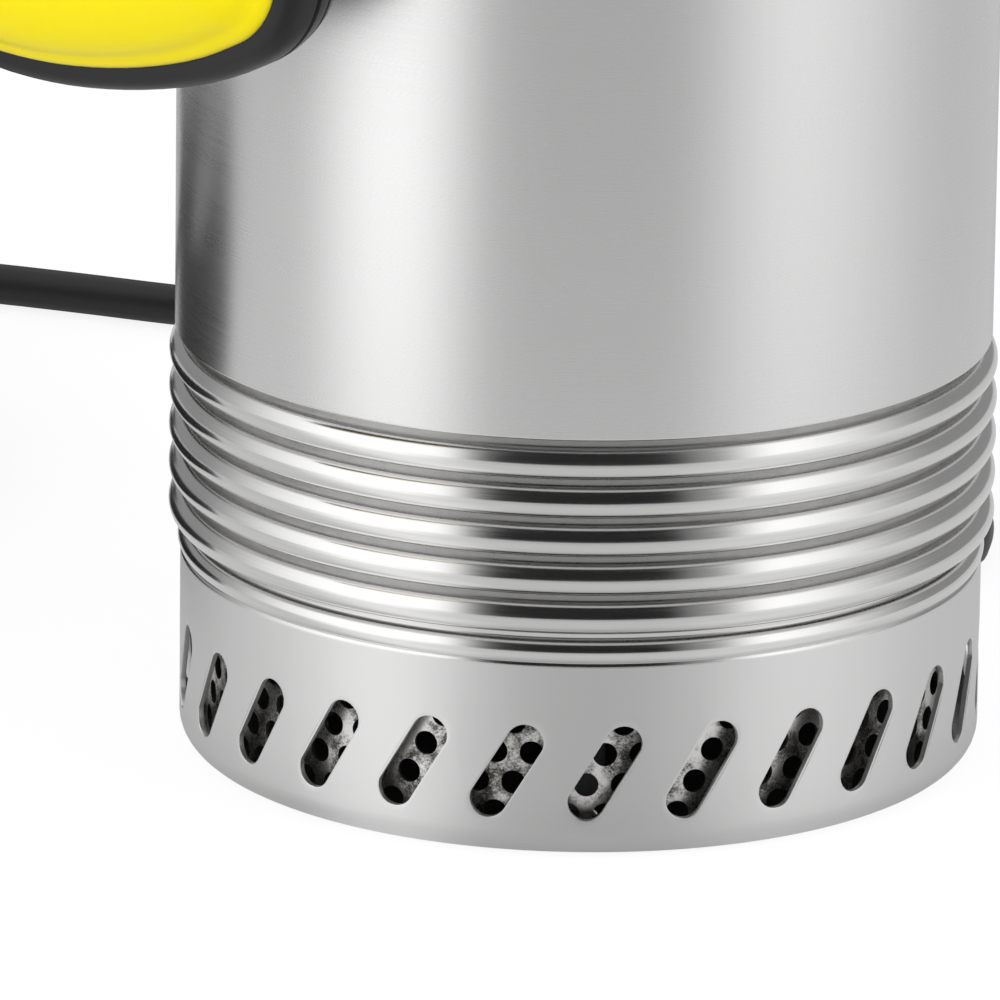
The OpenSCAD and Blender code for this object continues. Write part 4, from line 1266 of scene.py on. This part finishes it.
@dataclass
class FloatSwitch:
    """Float with a coloured front shell in a dark rear shell, and a ribbed boot.

    A shell's profile gives its reach past the corners and its depth, from seam to face.
    """

    wardrobe: Wardrobe
    at: tuple[float, float] = (-82.80871, -64.21625)
    turn: float = -35.0
    middle: float = 199.0
    top_corners: Sequence[tuple[float, float]] = ((28, 36), (-28, 36))
    foot: Sequence[tuple[float, float]] = (
        (-26.9, -38.6), (-19.5, -39.9), (-10.0, -40.1), (0.0, -39.1), (9.0, -37.3),
        (17.0, -34.8), (23.5, -31.6))
    face: Profile = (
        (14.9, -5.4), (14.85, -6.4), (14.5, -7.4), (13.9, -8.2), (13.2, -8.7),
        (12.5, -9.2), (11.9, -10.1), (11.2, -11.3), (10.2, -12.6), (8.6, -13.9),
        (6.4, -15.2), (3.8, -16.2), (1.0, -16.8))
    back: Profile = (
        (14.95, -6.1), (16.9, -5.9), (18.2, -5.2), (19.1, -4.1), (19.6, -2.8),
        (19.9, -1.2), (19.95, 0.4), (19.3, 0.7), (19.3, 1.5), (19.9, 1.8), (19.7, 3.4),
        (19.4, 4.8), (18.8, 5.1), (18.7, 5.8), (19.0, 6.2), (18.3, 8.2), (17.2, 10.2),
        (15.4, 12.7), (13.0, 15.2), (9.6, 17.5), (6.4, 18.9), (3.2, 19.7), (1.0, 20.0))
    face_wall: float = 1.8
    back_wall: float = 2.5
    boot_ribs: int = 5
    round_points: int = 200
    corners: list[tuple[float, float]] = field(init=False)

    def __post_init__(self) -> None:
        """Rounds the outline's foot."""
        foot = fair([Vector((x, 0.0, z)) for x, z in self.foot], 3)
        self.corners = [*self.top_corners, *((p.x, p.z) for p in foot)]

    def shell(self, name: str, profile: Profile, wall: float) -> bpy.types.Object:
        """Half shell whose outline is the float's corners, rounded ever more inwards.

        Args:
            name: the piece's name.
            profile: reach past the corners and depth of each step, from seam to face.
            wall: thickness of the shell.

        Returns:
            The shell, in place.
        """
        first, depth = profile[0]
        bpy.ops.object.select_all(action="DESELECT")
        bpy.ops.mesh.primitive_circle_add(vertices=self.round_points, radius=first * MM,
                                          location=(0.0, depth * MM, 0.0),
                                          rotation=(math.pi / 2, 0.0, 0.0))
        obj = named(name)
        open_mesh(obj)
        owners = self._owners(obj)
        for i, (x, z) in enumerate(self.corners):
            mine = {n for n, owner in owners.items() if owner == i}
            pick(obj, lambda v: v.index in mine)
            bpy.ops.transform.translate(value=(x * MM, 0.0, z * MM))
        for (r0, y0), (r1, y1) in zip(profile, profile[1:]):
            self._open_rim(obj, y0)
            bpy.ops.mesh.extrude_region_move(
                TRANSFORM_OT_translate={"value": (0.0, (y1 - y0) * MM, 0.0)})
            rim = chosen(obj)
            for i, (x, z) in enumerate(self.corners):
                mine = {n for n, co in rim.items() if self._nearest(co, r0) == i}
                pick(obj, lambda v: v.index in mine)
                bpy.ops.transform.resize(value=(r1 / r0, 1.0, r1 / r0),
                                         center_override=(x * MM, y1 * MM, z * MM))
        self._open_rim(obj, profile[-1][1])
        bpy.ops.mesh.edge_face_add()
        close_mesh()
        tidy_mesh(obj)
        modify(obj, "SOLIDIFY", thickness=wall * MM, offset=-1.0, use_even_offset=True)
        smooth(obj, 40.0)
        place(obj, self.turn, (self.at[0] * MM, self.at[1] * MM, self.middle * MM))
        return obj

    def _owners(self, obj: bpy.types.Object) -> dict[int, int]:
        """Finds the corner that each point of the first ring belongs to.

        Args:
            obj: the ring, in edit mode.

        Returns:
            Number of the corner, by number of the point.
        """
        owners = {}
        for vert in bmesh.from_edit_mesh(obj.data).verts:
            way = Vector((vert.co.x, vert.co.z))
            scores = [way.dot(Vector(c)) for c in self.corners]
            owners[vert.index] = scores.index(max(scores))
        return owners

    @staticmethod
    def _open_rim(obj: bpy.types.Object, depth: float) -> None:
        """Picks the ring of points at a depth."""
        pick(obj, lambda v: abs(v.co.y - depth * MM) < 1e-7
             and any(not e.is_manifold for e in v.link_edges))

    def _nearest(self, point: Vector, reach: float) -> int:
        """Corner whose rounding a point lies on."""
        gaps = [abs((Vector((point.x, point.z)) / MM - Vector(c)).length - reach)
                for c in self.corners]
        return gaps.index(min(gaps))

    def build(self) -> None:
        """Makes both shells and the boot."""
        front = self.shell("float_face", self.face, self.face_wall)
        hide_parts("float_front")
        self.wardrobe.finish(front, "yellow_plastic", Body.FLOAT)
        rear = self.shell("float_back", self.back, self.back_wall)
        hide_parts("float_rear")
        self.wardrobe.finish(rear, "black_plastic", Body.FLOAT)
        self.boot()

    def boot(self) -> None:
        """Makes the ribbed boot on top of the float."""
        low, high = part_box("float_boot")
        z0, z1 = low.z / MM, high.z / MM
        first = 3.5
        pitch = (z1 - z0 - 5.0) / self.boot_ribs
        taper = 1.9 / (z1 - z0)
        rib = ((0.0, 0.0), (-0.8, 0.4), (-0.8, pitch * 0.5), (-0.1, pitch * 0.6))
        profile = [(3.6, z0), (6.4, z0), (6.4, z0 + 3.0)]
        profile += ribbed(rib, self.boot_ribs, z0 + first, pitch, 6.2 - first * taper, taper)
        profile += [(4.3, z1 - 0.5), (4.0, z1), (3.6, z1)]
        obj = turned("float_boot_ribbed", profile, 40, self.at)
        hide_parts("float_boot")
        self.wardrobe.finish(obj, "black_rubber", Body.FLOAT)


# ---------------------------------------------------------------- head of the pump


@dataclass
class Head:
    """Moulded cover with its handle, glands and outlet."""

    wardrobe: Wardrobe
    rounded: dict[str, tuple[float, str]] = field(default_factory=lambda: {
        "top_cover": (0.6, "black_plastic"),
        "handle": (1.6, "black_plastic"),
        "cord_gland": (0.5, "black_plastic"),
        "cord_gland_nut": (0.6, "black_plastic"),
        "float_gland": (0.8, "black_plastic"),
        "float_clip": (0.8, "black_plastic"),
        "outlet_socket": (0.5, "brass"),
        "cap_nuts": (0.4, "steel_bright"),
        "handle_screws": (0.25, "steel_bright"),
    })

    def build(self) -> None:
        """Rounds the edges of the head's solids."""
        for node, (width, slot) in self.rounded.items():
            piece = softened(node, width, 3 if width > 1 else 2)
            self.wardrobe.finish(piece, slot)


def main() -> None:
    """Builds the scene."""
    logging.basicConfig(level=logging.INFO, format="%(name)s: %(message)s")
    studio = Studio()
    studio.camera()
    wardrobe = Wardrobe()
    wardrobe.dress_nodes()
    MainsCord(wardrobe).build()
    Jacket(wardrobe).build()
    Strainer(wardrobe).build()
    FloatSwitch(wardrobe).build()
    Head(wardrobe).build()
    studio.light()


if __name__ == "__main__":
    main()
